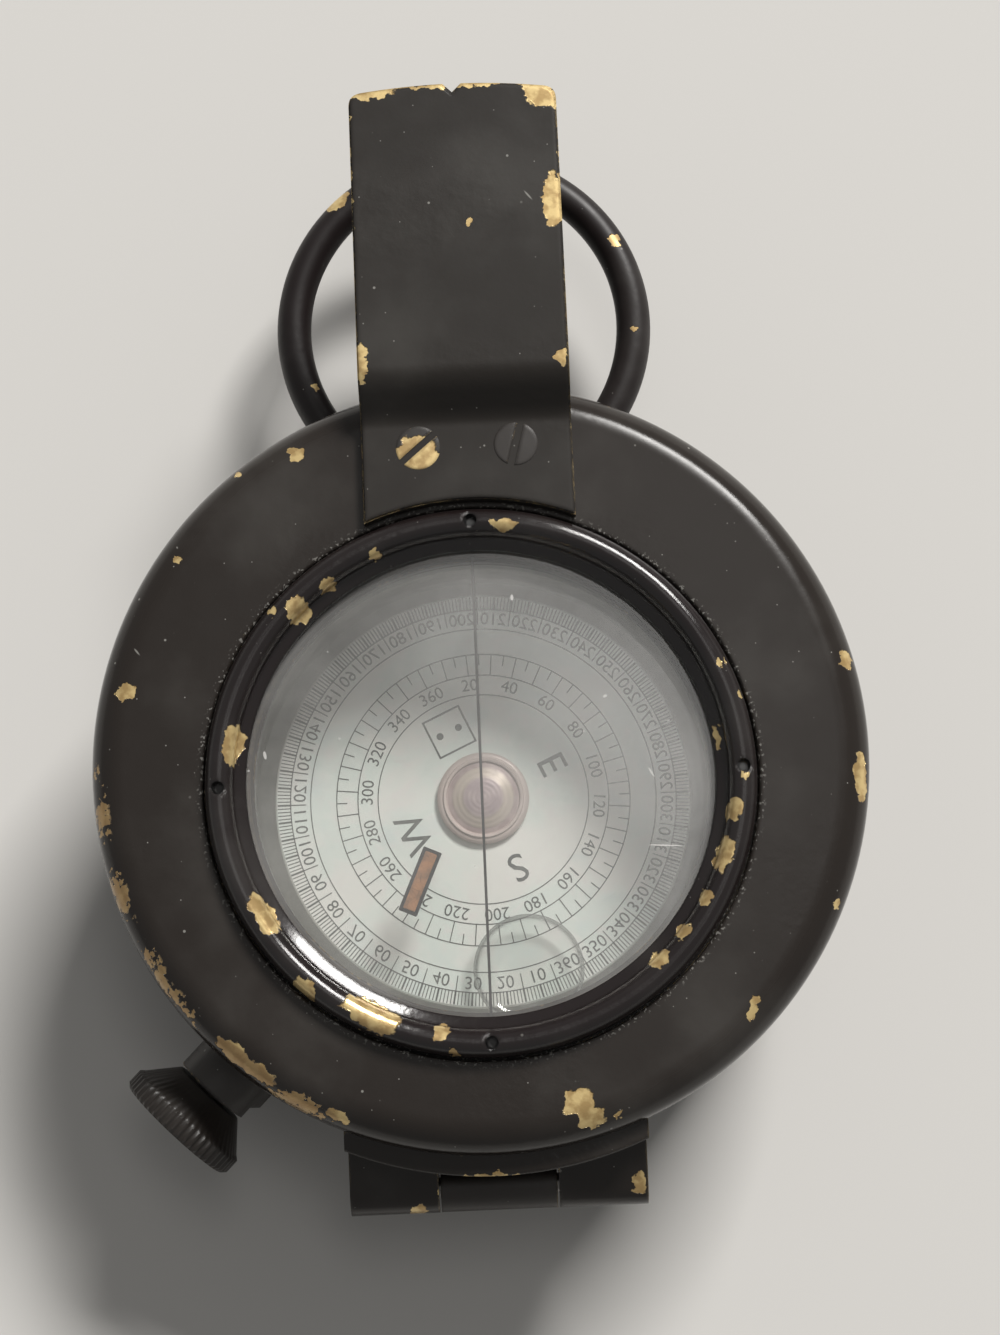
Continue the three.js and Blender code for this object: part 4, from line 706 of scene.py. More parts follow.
def clear_glass(name, ior, film, smear, marks=()):
    """A pane that lets light straight through, mirrors by Fresnel and carries dust, specks and scratches."""
    graph = blank(name)
    cloud = graph.noise(smear, 5.0)
    through = graph.node("BsdfTransparent", {"Color": rgb(0.997, 0.998, 0.997)})
    mirror = graph.node("BsdfGlossy", {"Roughness": cloud.ramp(0.3, 0.7, 0.02, 0.06)})
    dusty = graph.node("BsdfDiffuse", {"Color": rgb(0.72, 0.71, 0.69)})
    front = 1.0 - graph.node("NewGeometry", {}, "Backfacing")
    shine = graph.node("Fresnel", {"IOR": ior}) * front
    veil = cloud.ramp(0.3, 0.75, 0.5 * film, film)
    if marks:
        scratch = chip_distance(graph, graph.place, marks).ramp(1.0, 0.7, 0.0, 0.7)
        veil = veil | graph.dots(0.45, 0.06, 0.03, 0.6) * 0.5 | scratch
    veiled = graph.node("MixShader", {0: veil * front, 1: through, 2: dusty})
    return graph.surface(graph.node("MixShader", {0: shine, 1: veiled, 2: mirror}))


def bubble_skin():
    """The skin of an air bubble: clear in the middle, mirror-like where it turns down at its rim, with painted
    shade there that tints the light through the rim dark.
    """
    graph = blank("bubble")
    slope = 1.0 - abs(graph.node("SeparateXYZ", {0: graph.node("TexCoord", {}, "Normal")}, "Z"))
    # painted shade: what is seen through the skin is tinted darker where it slopes down at the rim
    clear = slope.ramp(0.14, 0.36).mix(rgb(0.985, 0.99, 0.985), rgb(0.34, 0.35, 0.34))
    through = graph.node("BsdfTransparent", {"Color": clear})
    mirror = graph.node("BsdfGlossy", {"Roughness": 0.06})
    rim = slope.ramp(0.1, 0.5, 0.05, 0.4)
    return graph.surface(graph.node("MixShader", {0: rim, 1: through, 2: mirror}))


# Chips as the photograph shows them, made into (x, y, z, length, width, turn in degrees)
def below(top, chips):
    """Chips (x, y, drop, length, width, turn) under a top face."""
    return [(x, y, top - drop, *shape) for x, y, drop, *shape in chips]


def on_circle(angle, radius, height, length, width, centre_y=0.0):
    """A chip with its length along a circle."""
    x, y = polar(radius, angle)
    return (x, centre_y + y, height, length, width, angle + 90)


lid_chips = below(lid_top, (
    (-14.0, 27.3, 0, 1.5, 1.3, 0), (-18.8, 26.0, 0.4, 0.9, 0.6, 35), (-23.9, 18.9, 0, 0.9, 0.8, 0),
    (-28.1, 8.3, 0, 1.9, 1.5, 20), (29.7, 8.5, 0.6, 1.2, 1.6, 0), (30.2, -1.0, 1.0, 1.3, 4.2, 0),
    (27.8, -11.4, 0.3, 1.1, 1.4, 0), (20.6, -18.9, 0, 1.0, 2.3, -15), (6.6, -25.6, 0, 2.6, 2.4, 30),
    (7.6, -26.9, 0.2, 2.2, 2.0, 0), (9.7, -26.6, 0.3, 0.9, 0.7, 0), (-12.8, -25.7, 0.4, 1.2, 0.8, 25),
))
lid_chips += [
    on_circle(angle, lid_radius - 1.1, lid_top - 0.9, length, width, lid_centre)
    for angle, length, width in ((199, 1.6, 0.9), (228, 3.6, 1.8), (232, 4.2, 1.5), (246, 2.0, 1.0))
]
lid_zones = [
    on_circle(angle, lid_radius - 0.9, lid_top - 1.2, 9.0, 3.8, lid_centre)
    for angle in (186, 198, 209, 220, 230, 239)
]
barrel_top = hinge_z + HINGE_BARREL_RADIUS
hinge_chips = [
    (-4.2, -32.4, barrel_top, 1.4, 2.4, 10),
    (11.3, -32.2, barrel_top, 1.2, 2.0, 0),
    (-0.5, -31.0, skirt_bottom + HINGE_LEAF_TOP, 5.0, 0.5, 0),
    (-6.5, -33.6, barrel_top - 1.2, 1.6, 1.2, 0),
]
crown = ring_high.z - 0.6
ring_chips = [
    on_circle(angle, radius, crown - drop, length, width)
    for angle, radius, drop, length, width in (
        (83, 20.5, 0, 2.6, 1.0), (113, 19.9, 0, 0.8, 0.8), (126, 19.7, 0, 1.4, 1.1), (135, 19.8, 0, 2.1, 2.4),
        (139, 21.2, 0, 1.0, 0.7), (170, 19.7, 0, 3.6, 1.9), (210, 20.1, 0, 4.0, 1.9), (228, 21.5, 0, 2.2, 1.8),
        (243, 20.4, 0, 5.2, 2.6), (259, 20.1, 0, 1.4, 1.1), (262, 21.6, 0, 1.0, 0.6), (23, 21.0, 0, 1.0, 0.8),
        (15, 21.6, 0, 0.7, 0.5), (358, 20.7, 0, 0.9, 0.5), (7, 19.1, 1.2, 2.1, 0.7), (350, 20.0, 0, 1.8, 1.6),
        (340, 20.0, 0, 3.2, 1.6), (329, 20.1, 0, 1.6, 1.2), (320, 19.9, 0, 1.6, 1.2), (312, 19.9, 0, 1.8, 1.5),
    )
]
tip = tongue_high.y
tongue_chips = below(tongue_high.z, (
    (7.2, tip - 1.2, 0, 3.2, 2.4, -40), (7.9, 46.6, 0, 1.8, 5.0, 0), (1.0, 45.0, 0, 0.7, 0.6, 0),
    (-8.2, 33.6, 0, 1.0, 3.8, 0), (7.9, 33.3, 0, 1.0, 1.6, 0), (0.0, tip - 0.1, 0, 18.0, 0.5, 0),
    (-6.6, tip - 0.6, 0, 4.2, 1.0, 4), (-8.6, 50.0, 0, 0.22, 11.0, 0), (8.62, 50.0, 0, 0.26, 13.0, 0),
))
screw_low, screw_high = box("tongue_screw_left")
screw_chips = below(screw_high.z, (
    (screw_low.x + 1.7, screw_low.y + 1.5, 0, 3.4, 3.2, 30),
    (screw_low.x + 2.9, screw_low.y + 0.9, 0, 2.0, 1.6, 0),
))
sling_chips = [
    (-10.8, 54.1, 10.0, 1.6, 2.6, -45),
    (13.6, 49.3, 10.0, 1.2, 1.4, 0),
    (15.0, 41.0, 10.2, 0.6, 0.8, 0),
    (-13.2, 37.0, 10.2, 0.6, 0.9, 0),
]
pane_marks = below(pane_high.z, (
    (14.4, -5.8, 0, 3.2, 0.14, -4), (13.6, 0.1, 0, 1.1, 0.16, -60), (3.1, 14.8, 0, 0.3, 0.6, 0),
    (16.4, -10.8, 0, 2.4, 0.12, 35), (-17.2, 2.8, 0, 0.3, 0.8, 10), (10.2, 6.4, 0, 0.4, 0.25, 30),
))
case_chips = [
    on_circle(angle, case_radius - inset, height, length, width)
    for angle, inset, height, length, width in (
        (28, 0, 7.9, 2.4, 1.6), (63, 0, 0.4, 5.0, 1.4), (152, 0.2, 10.2, 3.4, 1.6), (200, 0, 0.3, 6.0, 1.6),
        (185, 0, 5.2, 1.0, 1.2), (318, 0, 0.3, 4.2, 1.4), (331, 0, 5.6, 1.3, 1.2), (352, 0.2, 10.3, 4.6, 1.6),
    )
]

# Finish of each material slot, and of the nodes that differ from their slot
case_enamel = enamel("case_enamel", SATIN_BLACK, 0.36, shine=0.4)
milled_enamel = enamel("milled_enamel", SATIN_BLACK, 0.3, wear=0.55, shine=0.4, edge=TOOTH_ROUND)
print_ink = ink("print_ink", rgb(0.055, 0.064, 0.056), rgb(0.13, 0.14, 0.125))
line_ink = ink("line_ink", rgb(0.006, 0.006, 0.006), rgb(0.012, 0.012, 0.012))
SLOT_FINISH = {
    "black_enamel": case_enamel,
    "gloss_enamel": enamel("ring_enamel", GLOSS_BLACK, 0.06, ring_chips, wear=0.15, specks=0.4, depth=2.0),
    "brass": metal("brass", rgb(0.66, 0.49, 0.22), rgb(0.40, 0.28, 0.12), 0.34, lines=30.0),
    "screw_brass": metal("screw_brass", rgb(0.62, 0.46, 0.30), rgb(0.30, 0.19, 0.11), 0.42),
    "steel": metal("steel", rgb(0.50, 0.49, 0.47), rgb(0.26, 0.24, 0.22), 0.36),
    "rubber": mottled("rubber", rgb(0.018, 0.018, 0.017), rgb(0.035, 0.034, 0.032), 1.4, 0.85),
    "gasket": mottled("gasket", rgb(0.035, 0.028, 0.022), rgb(0.07, 0.055, 0.04), 1.8, 0.88),
    "glass": clear_glass("inner_pane", 1.42, 0.012, 0.15),
    "pearl": pearl(),
    "cap_bronze": bronze(),
    "jewel": mottled("jewel", rgb(0.28, 0.03, 0.04), rgb(0.18, 0.02, 0.03), 0.9, 0.2),
    "luminous": luminous(),
}
NODE_FINISH = {
    "case_body": enamel("body_enamel", SATIN_BLACK, 0.32, case_chips, wear=0.6, depth=0.55),
    "liquid_bowl": mottled("bowl_white", rgb(0.74, 0.74, 0.70), rgb(0.62, 0.62, 0.58), 0.5, 0.5),
    "bowl_lock_ring": case_enamel,
    "bezel": milled_enamel,
    "bezel_snap_ring": case_enamel,
    "clamp_screw": milled_enamel,
    # the groove round the window ring gets a band of painted glints
    "lid_shell": enamel("lid_enamel", SATIN_BLACK, 0.24, lid_chips + hinge_chips, lid_zones, wear=0.4,
                        groove=ring_high.x + WINDOW_RING_PLAY, shine=0.28, polished=(lid_radius, lid_centre)),
    "lid_glass": clear_glass("lid_pane", 1.6, 0.22, 0.12, pane_marks),
    "sight_tongue": enamel("tongue_enamel", TONGUE_BLACK, 0.34, tongue_chips, wear=0.35, shine=0.28),
    "tongue_screw_left": enamel("left_screw_enamel", TONGUE_BLACK, 0.36, screw_chips),
    "tongue_screw_right": enamel("right_screw_enamel", SATIN_BLACK, 0.36, wear=0.25),
    "prism": clear_glass("prism_pane", 1.8, 0.02, 0.2),
    "sling_ring": enamel("sling_enamel", GLOSS_BLACK, 0.34, sling_chips, wear=0.3, shine=0.3),
}


# CAD nodes that stay: their facets are welded, shaded smooth and painted
def smooth_facets():
    """Geometry nodes that weld the corners of a node and crease only its sharp edges."""
    group = bpy.data.node_groups.new("smooth_facets", "GeometryNodeTree")
    for direction in ("INPUT", "OUTPUT"):
        group.interface.new_socket("Geometry", in_out=direction, socket_type="NodeSocketGeometry")
    new, link = group.nodes.new, group.links.new
    bare, weld = new("GeometryNodeRemoveAttribute"), new("GeometryNodeMergeByDistance")
    faces, edges = new("GeometryNodeSetShadeSmooth"), new("GeometryNodeSetShadeSmooth")
    chain = [new("NodeGroupInput"), bare, weld, faces, edges, new("NodeGroupOutput")]
    for first, second in zip(chain, chain[1:]):
        link(first.outputs[0], second.inputs[0])
    bare.inputs["Name"].default_value = "custom_normal"
    weld.inputs["Distance"].default_value = WELD * MM
    faces.inputs["Shade Smooth"].default_value = True
    edges.domain = "EDGE"
    gentle = new("FunctionNodeCompare")
    gentle.operation = "LESS_THAN"
    gentle.inputs[1].default_value = radians(SHARP_ANGLE)
    link(new("GeometryNodeInputMeshEdgeAngle").outputs["Unsigned Angle"], gentle.inputs[0])
    link(gentle.outputs[0], edges.inputs["Shade Smooth"])
    return group


smoothing = smooth_facets()
node_slot = {entry["node"]: entry["material_slot"] for entry in frame["record"]["subparts"]}
node_body = {node: body for body, nodes in frame["record"]["behaviour"]["bodies"].items() for node in nodes}
finish = {name: NODE_FINISH.get(name, SLOT_FINISH[slot]) for name, slot in node_slot.items()}
for name, thing in frame["nodes"].items():
    thing.modifiers.new("smooth", "NODES").node_group = smoothing
    thing.material_slots[0].link = "OBJECT"
    thing.material_slots[0].material = finish[name]


def stand_in(node, bm):
    """A finer piece in the place of one node, with its finish."""
    piece(f"{node}_fine", bm, finish[node], node_body[node], [node])


# Discs and washers, turned smooth with broken edges
def washer(node, width):
    """The ring of a node, or its whole disc where the width reaches the axis."""
    low, high = box(node)
    outer = high.x
    inner = outer - width
    edge = min(EDGE_BREAK, (high.z - low.z) / 4)
    profile = [
        (inner, low.z), (outer - edge, low.z), (outer, low.z + edge),
        (outer, high.z - edge), (outer - edge, high.z), (inner, high.z),
    ]
    return turned(profile, closed=inner > 0)


def disc(node):
    return washer(node, box(node)[1].x)


for name, width in WASHER_WIDTHS.items():
    stand_in(name, washer(name, width))
for name in PANES:
    stand_in(name, disc(name))


# Case, base cover and liquid bowl
def screw_hole(node):
    low, high = box(node)
    middle = (low + high) / 2
    radius = (high.y - low.y) / 2 + SEAT_GAP
    return middle.x, middle.y, radius, low.z - DRILL_OVERRUN, high.z + DRILL_OVERRUN


def case_body():
    low, high = box("case_body")
    wire_low, wire_high = box("bezel_wire")
    outer = high.x
    recess = box("base_rubber_ring")[1].x + RUNNING_GAP
    floor_bottom = box("base_cover")[1].z + SEAT_GAP
    floor_top = bowl_low.z - SEAT_GAP
    wall_top = bezel_low.z - RUNNING_GAP
    bore = bowl_high.x + RUNNING_GAP
    neck = bezel_high.x - BEZEL_WALL - RUNNING_GAP
    groove = neck - WIRE_GROOVE
    groove_low, groove_high = wire_low.z - WIRE_PLAY, wire_high.z + WIRE_PLAY
    profile = [
        (0, floor_bottom), (recess, floor_bottom), (recess, low.z),
        (outer - CASE_FOOT, low.z), (outer, low.z + CASE_FOOT),
        (outer, wall_top - CASE_SHOULDER), (outer - CASE_SHOULDER, wall_top), (neck, wall_top),
        (neck, groove_low), (groove, groove_low), (groove, groove_high), (neck, groove_high),
        (neck, high.z), (bore, high.z), (bore, floor_top), (0, floor_top),
    ]
    return drilled(turned(profile, closed=False), base_screws)


def liquid_bowl():
    low, high = bowl_low.z, bowl_high.z
    bottom = box("pivot_post")[0].z
    diaphragm = box("bowl_diaphragm")[1]
    gasket_low, gasket_high = box("bowl_gasket")
    ledge = gasket_low.z - SEAT_GAP
    seat = gasket_high.x + RUNNING_GAP
    cavity = seat - GASKET_LEDGE
    bore = diaphragm.x + RUNNING_GAP
    inner = bore - DIAPHRAGM_LEDGE
    floor_top = bottom + BOWL_FLOOR
    profile = [
        (PIVOT_BORE, bottom), (inner, bottom), (inner, diaphragm.z), (bore, diaphragm.z), (bore, low),
        (bowl_high.x, low), (bowl_high.x, high), (seat, high), (seat, ledge), (cavity, ledge),
        (cavity, floor_top), (PIVOT_BORE, floor_top),
    ]
    return drilled(turned(profile), [screw_hole("filler_plug")])


base_screws = [screw_hole(f"base_screw_{i}") for i in (1, 2, 3)]
stand_in("case_body", case_body())
stand_in("base_cover", drilled(disc("base_cover"), base_screws))
stand_in("liquid_bowl", liquid_bowl())

# Lid shell: an eccentric dome round the window, with hinge leaf and two knuckles
leaf_inner = bezel_high.x + HINGE_LEAF_GAP
leaf_outer = leaf_inner + HINGE_LEAF
leaf_bottom = barrel_top + RUNNING_GAP
leaf_top = skirt_bottom + HINGE_LEAF_TOP


def lid_shell():
    ring_radius = ring_high.x
    counterbore = ring_radius + WINDOW_RING_PLAY
    boss = counterbore + WINDOW_BOSS_WALL
    bore = ring_radius - WINDOW_RING_WIDTH - WINDOW_LEDGE_LAP
    seat_radius = pane_high.x + RUNNING_GAP
    seat = pane_low.z - WINDOW_GASKET - 2 * SEAT_GAP
    boss_bottom = seat - WINDOW_LEDGE_HEIGHT
    plate_bottom = lid_top - LID_PLATE
    inner = lid_radius - LID_WALL
    inner_round = LID_ROUND - LID_WALL
    outer_arc = arc(LID_ROUND, (lid_radius - LID_ROUND, lid_top - LID_ROUND), 0, 90, LID_ROUND_STEPS)
    inner_arc = arc(inner_round, (inner - inner_round, plate_bottom - inner_round), 90, 0, LID_ROUND_STEPS // 2)
    skirt = [
        *inner_arc, (inner, skirt_bottom), (lid_radius - EDGE_BREAK, skirt_bottom),
        (lid_radius, skirt_bottom + EDGE_BREAK), *outer_arc,
    ]
    bm = turned([
        (bore, boss_bottom), (boss, boss_bottom), (boss, plate_bottom),
        *[(radius, height, lid_centre) for radius, height in skirt],
        (counterbore + EDGE_BREAK, lid_top), (counterbore, lid_top - EDGE_BREAK), (counterbore, pane_high.z),
        (seat_radius, pane_high.z), (seat_radius, seat), (bore, seat),
    ])
    add(bm, hinge_leaf())
    for side in (-1, 1):
        add(bm, hinge_knuckle(side * KNUCKLE_INNER, side * HINGE_HALF))
    return bm


def hinge_leaf():
    flange = leaf_outer - HINGE_FLANGE_REACH
    section = [
        (flange, skirt_bottom), (flange, leaf_top), (leaf_outer - EDGE_BREAK, leaf_top),
        (leaf_outer, leaf_top - EDGE_BREAK), (leaf_outer, leaf_bottom),
        (leaf_inner, leaf_bottom), (leaf_inner, skirt_bottom),
    ]
    across = spread(-HINGE_HALF, HINGE_HALF, 2 * CURVE_STEPS)
    return swept([[(x, -chord(radius, x), z) for radius, z in section] for x in across])


def hinge_knuckle(start, end):
    barrel = arc(HINGE_BARREL_RADIUS, (hinge_y, hinge_z), *HINGE_BARREL_ARC, CURVE_STEPS)
    sections = []
    for x in spread(start, end, CURVE_STEPS // 2):
        inner = -chord(leaf_inner, x)
        outline = [(inner, hinge_z), (inner, leaf_bottom + RUNNING_GAP), *barrel]
        sections.append([(x, y, z) for y, z in outline])
    return swept(sections)


stand_in("lid_shell", lid_shell())


# Window ring with its crown and spanner holes
def window_ring():
    outer = ring_high.x
    inner = outer - WINDOW_RING_WIDTH
    half = (WINDOW_RING_WIDTH - WINDOW_BEVEL_WIDTH) / 2
    middle = outer - half
    base = ring_high.z - WINDOW_RING_CROWN
    dome = arc(1, (0, 0), 0, 180, WINDOW_RING_STEPS)
    profile = [
        (inner, ring_low.z), (outer, ring_low.z),
        *[(middle + half * x, base + WINDOW_RING_CROWN * y) for x, y in dome],
        (inner + WINDOW_BEVEL_WIDTH, base - EDGE_BREAK), (inner, base - EDGE_BREAK - WINDOW_BEVEL_FALL),
    ]
    deep = ring_high.z - SPANNER_HOLE_DEPTH
    places = [polar(middle, 360 * i / SPANNER_HOLES) for i in range(SPANNER_HOLES)]
    clear = ring_high.z + DRILL_OVERRUN
    return drilled(turned(profile), [(x, y, SPANNER_HOLE_RADIUS, deep, clear) for x, y in places])


stand_in("lid_window_ring", window_ring())

# Sighting tongue: a flat plate with rounded edges, cranked over its ramp
tongue_root = ring_high.x + TONGUE_ROOT_GAP
ramp_start = tongue_root + TONGUE_FOOT


def tongue_plan():
    half_root = tongue_high.x
    half_tip = TONGUE_TIP_WIDTH / 2
    inner = half_tip - TONGUE_CORNER
    edge = chord(tip, half_tip)
    root_arc = [(x, chord(tongue_root, x)) for x in spread(-half_root, half_root, CURVE_STEPS)]
    corner = ((half_tip, edge - TONGUE_CORNER), (half_tip, edge), (inner, chord(tip, inner)))
    tip_arc = [(x, chord(tip, x)) for x in spread(inner, NOTCH_WIDTH / 2, TONGUE_TIP_STEPS)[1:]]
    right = bend(*map(Vector, corner), TONGUE_CORNER_STEPS) + tip_arc
    left = [(-x, y) for x, y in reversed(right)]
    return root_arc + right + [(0, tip - NOTCH_DEPTH)] + left


def past_corner(run):
    """How far a strip has run past a corner that is bent round, and how much of the turn it has made."""
    share = min(max((run / TONGUE_BEND + 1) / 2, 0), 1)
    return TONGUE_BEND * share ** 2 + max(run - TONGUE_BEND, 0), share


def crank(y):
    """Height of the middle of the strip and its slope at a distance from the card axis."""
    rise = tongue_high.z - tongue_low.z - TONGUE_THICKNESS
    slope = rise / TONGUE_RAMP_RUN
    up, leaning = past_corner(y - ramp_start)
    level, straight = past_corner(y - ramp_start - TONGUE_RAMP_RUN)
    return tongue_low.z + TONGUE_THICKNESS / 2 + slope * (up - level), slope * (leaning - straight)


def sight_tongue():
    bm = bmesh.new()
    base = bm.faces.new([bm.verts.new((x, y, -TONGUE_THICKNESS / 2)) for x, y in tongue_plan()])
    grown = bmesh.ops.extrude_face_region(bm, geom=[base])
    for vert in grown["geom"]:
        if isinstance(vert, bmesh.types.BMVert):
            vert.co.z += TONGUE_THICKNESS
    bmesh.ops.recalc_face_normals(bm, faces=bm.faces)
    rounded(bm, [e for e in bm.edges if abs(e.verts[0].co.z - e.verts[1].co.z) < SEAT_GAP], TONGUE_EDGE)
    start = ramp_start - TONGUE_BEND
    for y in spread(start, start + TONGUE_RAMP_RUN + 2 * TONGUE_BEND, 2 * CURVE_STEPS):
        everything = bm.verts[:] + bm.edges[:] + bm.faces[:]
        bmesh.ops.bisect_plane(bm, geom=everything, plane_co=(0, y, 0), plane_no=(0, 1, 0))
    for vert in bm.verts:
        height, slope = crank(vert.co.y)
        lean = atan(slope)
        offset = vert.co.z
        vert.co.y -= offset * sin(lean)
        vert.co.z = height + offset * cos(lean)
    bmesh.ops.triangulate(bm, faces=[f for f in bm.faces if len(f.verts) > 4])
    return bm


stand_in("sight_tongue", sight_tongue())


# Slotted countersunk screws of the tongue
def slotted_screw(node, slot_degrees):
    low, high = box(node)
    middle = (low + high) / 2
    radius = (high.x - low.x) / 2
    shank = SCREW_SHANK * radius
    rim = high.z + SEAT_GAP
    head = [
        (0, low.z), (shank, low.z), (shank, high.z - SCREW_CONE_DEPTH), (radius, high.z - SCREW_RIM_DEPTH),
        (radius, rim - EDGE_BREAK), (radius - EDGE_BREAK, rim), (0, rim + SEAT_GAP),
    ]
    slot = bmesh.new()
    bmesh.ops.create_cube(slot, size=1.0)
    slot.transform(Matrix.Diagonal((3 * radius, SCREW_SLOT_WIDTH, 2 * SCREW_SLOT_DEPTH, 1)))
    slot.transform(Matrix.Translation((0, 0, high.z)) @ Matrix.Rotation(radians(slot_degrees), 4, "Z"))
    bm = carved(turned(head, SMALL_SIDES, closed=False), slot)
    bm.transform(Matrix.Translation((middle.x, middle.y, 0)))
    return bm


for name, slot_degrees in SCREW_SLOTS.items():
    stand_in(name, slotted_screw(name, slot_degrees))


# Sling ring: most of a circle of round wire, its ends bent in to the bracket
def sling_ring():
    axis_y, axis_z = (value / MM for value in joint["ring_swing"]["pos_m"][1:])
    radius = box("sling_ring")[1].y - RING_WIRE_RADIUS - axis_y - RING_OFFSET
    centre = Vector((0, axis_y + RING_OFFSET, axis_z))
    start = RING_CORNER / radius - asin(RING_OFFSET / radius)
    curve = [centre + radius * Vector((cos(a), sin(a), 0)) for a in spread(start, pi - start, ROUND_SIDES)]
    corner_x = chord(radius, RING_OFFSET)

    def entry(side, arc_end):
        end, stub, corner = (
            Vector((side * x, axis_y, axis_z)) for x in (RING_STUB_END, corner_x - RING_CORNER, corner_x)
        )
        return [end, *bend(stub, corner, arc_end, RING_CORNER_STEPS)[:-1]]

    path = entry(1, curve[0]) + curve + entry(-1, curve[-1])[::-1]
    return tube(path, RING_WIRE_RADIUS, SMALL_SIDES // 2)


stand_in("sling_ring", sling_ring())


# Clamp knob: shank, coned back, finely knurled rim and dished end, turned about its own axis
def clamp_knob():
    clamp = joint["clamp_turn"]
    outwards = -Vector(clamp["axis"])
    height = clamp["pos_m"][2] / MM
    shank_start = bezel_high.x + KNOB_SHANK_START
    cone_start = bezel_high.x + KNOB_CONE_START
    rim_start = cone_start + KNOB_CONE_LENGTH
    rim_end = rim_start + KNOB_RIM_WIDTH
    dish = rim_end - KNOB_DISH_DEPTH
    profile = [
        (0, shank_start), (KNOB_SHANK_RADIUS, shank_start), (KNOB_SHANK_RADIUS, cone_start),
        (KNOB_SMALL_RADIUS - EDGE_BREAK, cone_start), (KNOB_SMALL_RADIUS, cone_start + EDGE_BREAK),
        (KNOB_CONE_RADIUS, rim_start), (KNOB_RIM_RADIUS, rim_start + KNOB_RIM_CHAMFER),
        (KNOB_RIM_RADIUS, rim_end - KNOB_RIM_CHAMFER), (KNOB_RIM_RADIUS - KNOB_RIM_CHAMFER, rim_end),
        (KNOB_DISH_RADIUS, rim_end), (KNOB_DISH_RADIUS - KNOB_RIM_CHAMFER, dish + EDGE_BREAK / 2),
        (KNOB_DISH_FLAT, dish), (0, dish),
    ]
    bm = turned(profile, 4 * KNOB_TEETH, closed=False)
    mill(bm, KNOB_RIM_RADIUS, rim_start + EDGE_BREAK, rim_end - EDGE_BREAK, KNURL_DEPTH, KNOB_TEETH)
    upright = Vector((0, 0, 1)).rotation_difference(outwards).to_matrix().to_4x4()
    bm.transform(Matrix.Translation((0, 0, height)) @ upright)
    return bm


stand_in("clamp_screw", clamp_knob())


# Turning bezel with straight milled teeth above a plain band
def bezel():
    low, high, outer = bezel_low.z, bezel_high.z, bezel_high.x
    glass_low, glass_high = box("bezel_glass")
    seat = glass_high.x + RUNNING_GAP
    ledge = seat - BEZEL_LEDGE
    bore = outer - BEZEL_WALL
    ledge_top = glass_low.z - SEAT_GAP
    ledge_bottom = ledge_top - BEZEL_LEDGE_HEIGHT
    band_top = low + BEZEL_BAND
    teeth_low = band_top + BEZEL_CHAMFER
    relief = outer - TOOTH_RELIEF
    profile = [
        (bore, low), (outer - BEZEL_CHAMFER, low), (outer, low + BEZEL_CHAMFER),
        (outer, band_top - BEZEL_BAND_BREAK), (relief, band_top), (relief, teeth_low),
        (outer, teeth_low), (outer, high - BEZEL_CHAMFER), (relief, high),
        (seat, high), (seat, ledge_top), (ledge, ledge_top), (ledge, ledge_bottom), (bore, ledge_bottom),
    ]
    bm = turned(profile, 4 * BEZEL_TEETH)
    mill(bm, outer, band_top + BEZEL_CHAMFER / 2, high, TOOTH_DEPTH, BEZEL_TEETH)
    return bm


stand_in("bezel", bezel())


# Card: a thin pearl disc and its turned cap
def card_cap():
    low, high = box("card_cap")
    radius = high.x
    seat = high.z - CAP_HEIGHT
    roof = high.z - CAP_ROOF
    shoulder, rise = CAP_SHOULDER
    profile = [
        (CAP_BORE, low.z), (CAP_HUB, low.z), (CAP_HUB, seat),
        (radius - EDGE_BREAK, seat), (radius, seat + EDGE_BREAK),
        *[(radius - inset, seat + height) for inset, height in CAP_RINGS],
        (shoulder, seat + rise), (CAP_BORE, high.z), (0, high.z), (0, roof), (CAP_BORE, roof),
    ]
    return turned(profile, ROUND_SIDES)


stand_in("card", washer("card", card_high.x - CARD_BORE))
stand_in("card_cap", card_cap())

# Print of the card: everything is laid out with north along +Y, then turned to the card's heading
ink_low, ink_high = card_high.z, card_high.z + INK_HEIGHT


def bar(bm, x0, y0, x1, y1, azimuth=0):
    """A printed bar between two corners in plan, turned clockwise from north."""
    add(bm, slab(x0, y0, x1, y1, ink_low, ink_high), Matrix.Rotation(radians(-azimuth), 4, "Z"))


def tick(bm, azimuth, inner, outer, width):
    bar(bm, -width / 2, inner, width / 2, outer, azimuth)


def circle(bm, radius, width):
    inner, outer = radius - width / 2, radius + width / 2
    add(bm, turned([(inner, ink_low), (outer, ink_low), (outer, ink_high), (inner, ink_high)]))


def lettering(labels):
    """Flat bodies of the given words, centred on the origin, one unit high."""
    things = {}
    for word in labels:
        curve = bpy.data.curves.new("word", "FONT")
        curve.body = word
        curve.align_x = "CENTER"
        curve.align_y = "CENTER"
        curve.resolution_u = LETTER_STEPS
        curve.extrude = INK_HEIGHT / 2
        things[word] = in_scene("word", curve)
    depsgraph = bpy.context.evaluated_depsgraph_get()
    shapes = {}
    for word, thing in things.items():
        shapes[word] = bmesh.new()
        shapes[word].from_mesh(thing.evaluated_get(depsgraph).to_mesh())
    for curve in [thing.data for thing in things.values()]:
        bpy.data.curves.remove(curve)  # its object goes with it
    return shapes


def write(bm, shape, azimuth, radius, size, mirrored=False):
    """Puts a word on the card with its top outwards."""
    scale = Matrix.Diagonal((-size if mirrored else size, size, 1, 1))
    lift = Matrix.Translation((0, radius, card_high.z + INK_HEIGHT / 2))
    turn = Matrix.Rotation(radians(-azimuth), 4, "Z")
    add(bm, shape.copy(), turn @ lift @ scale)


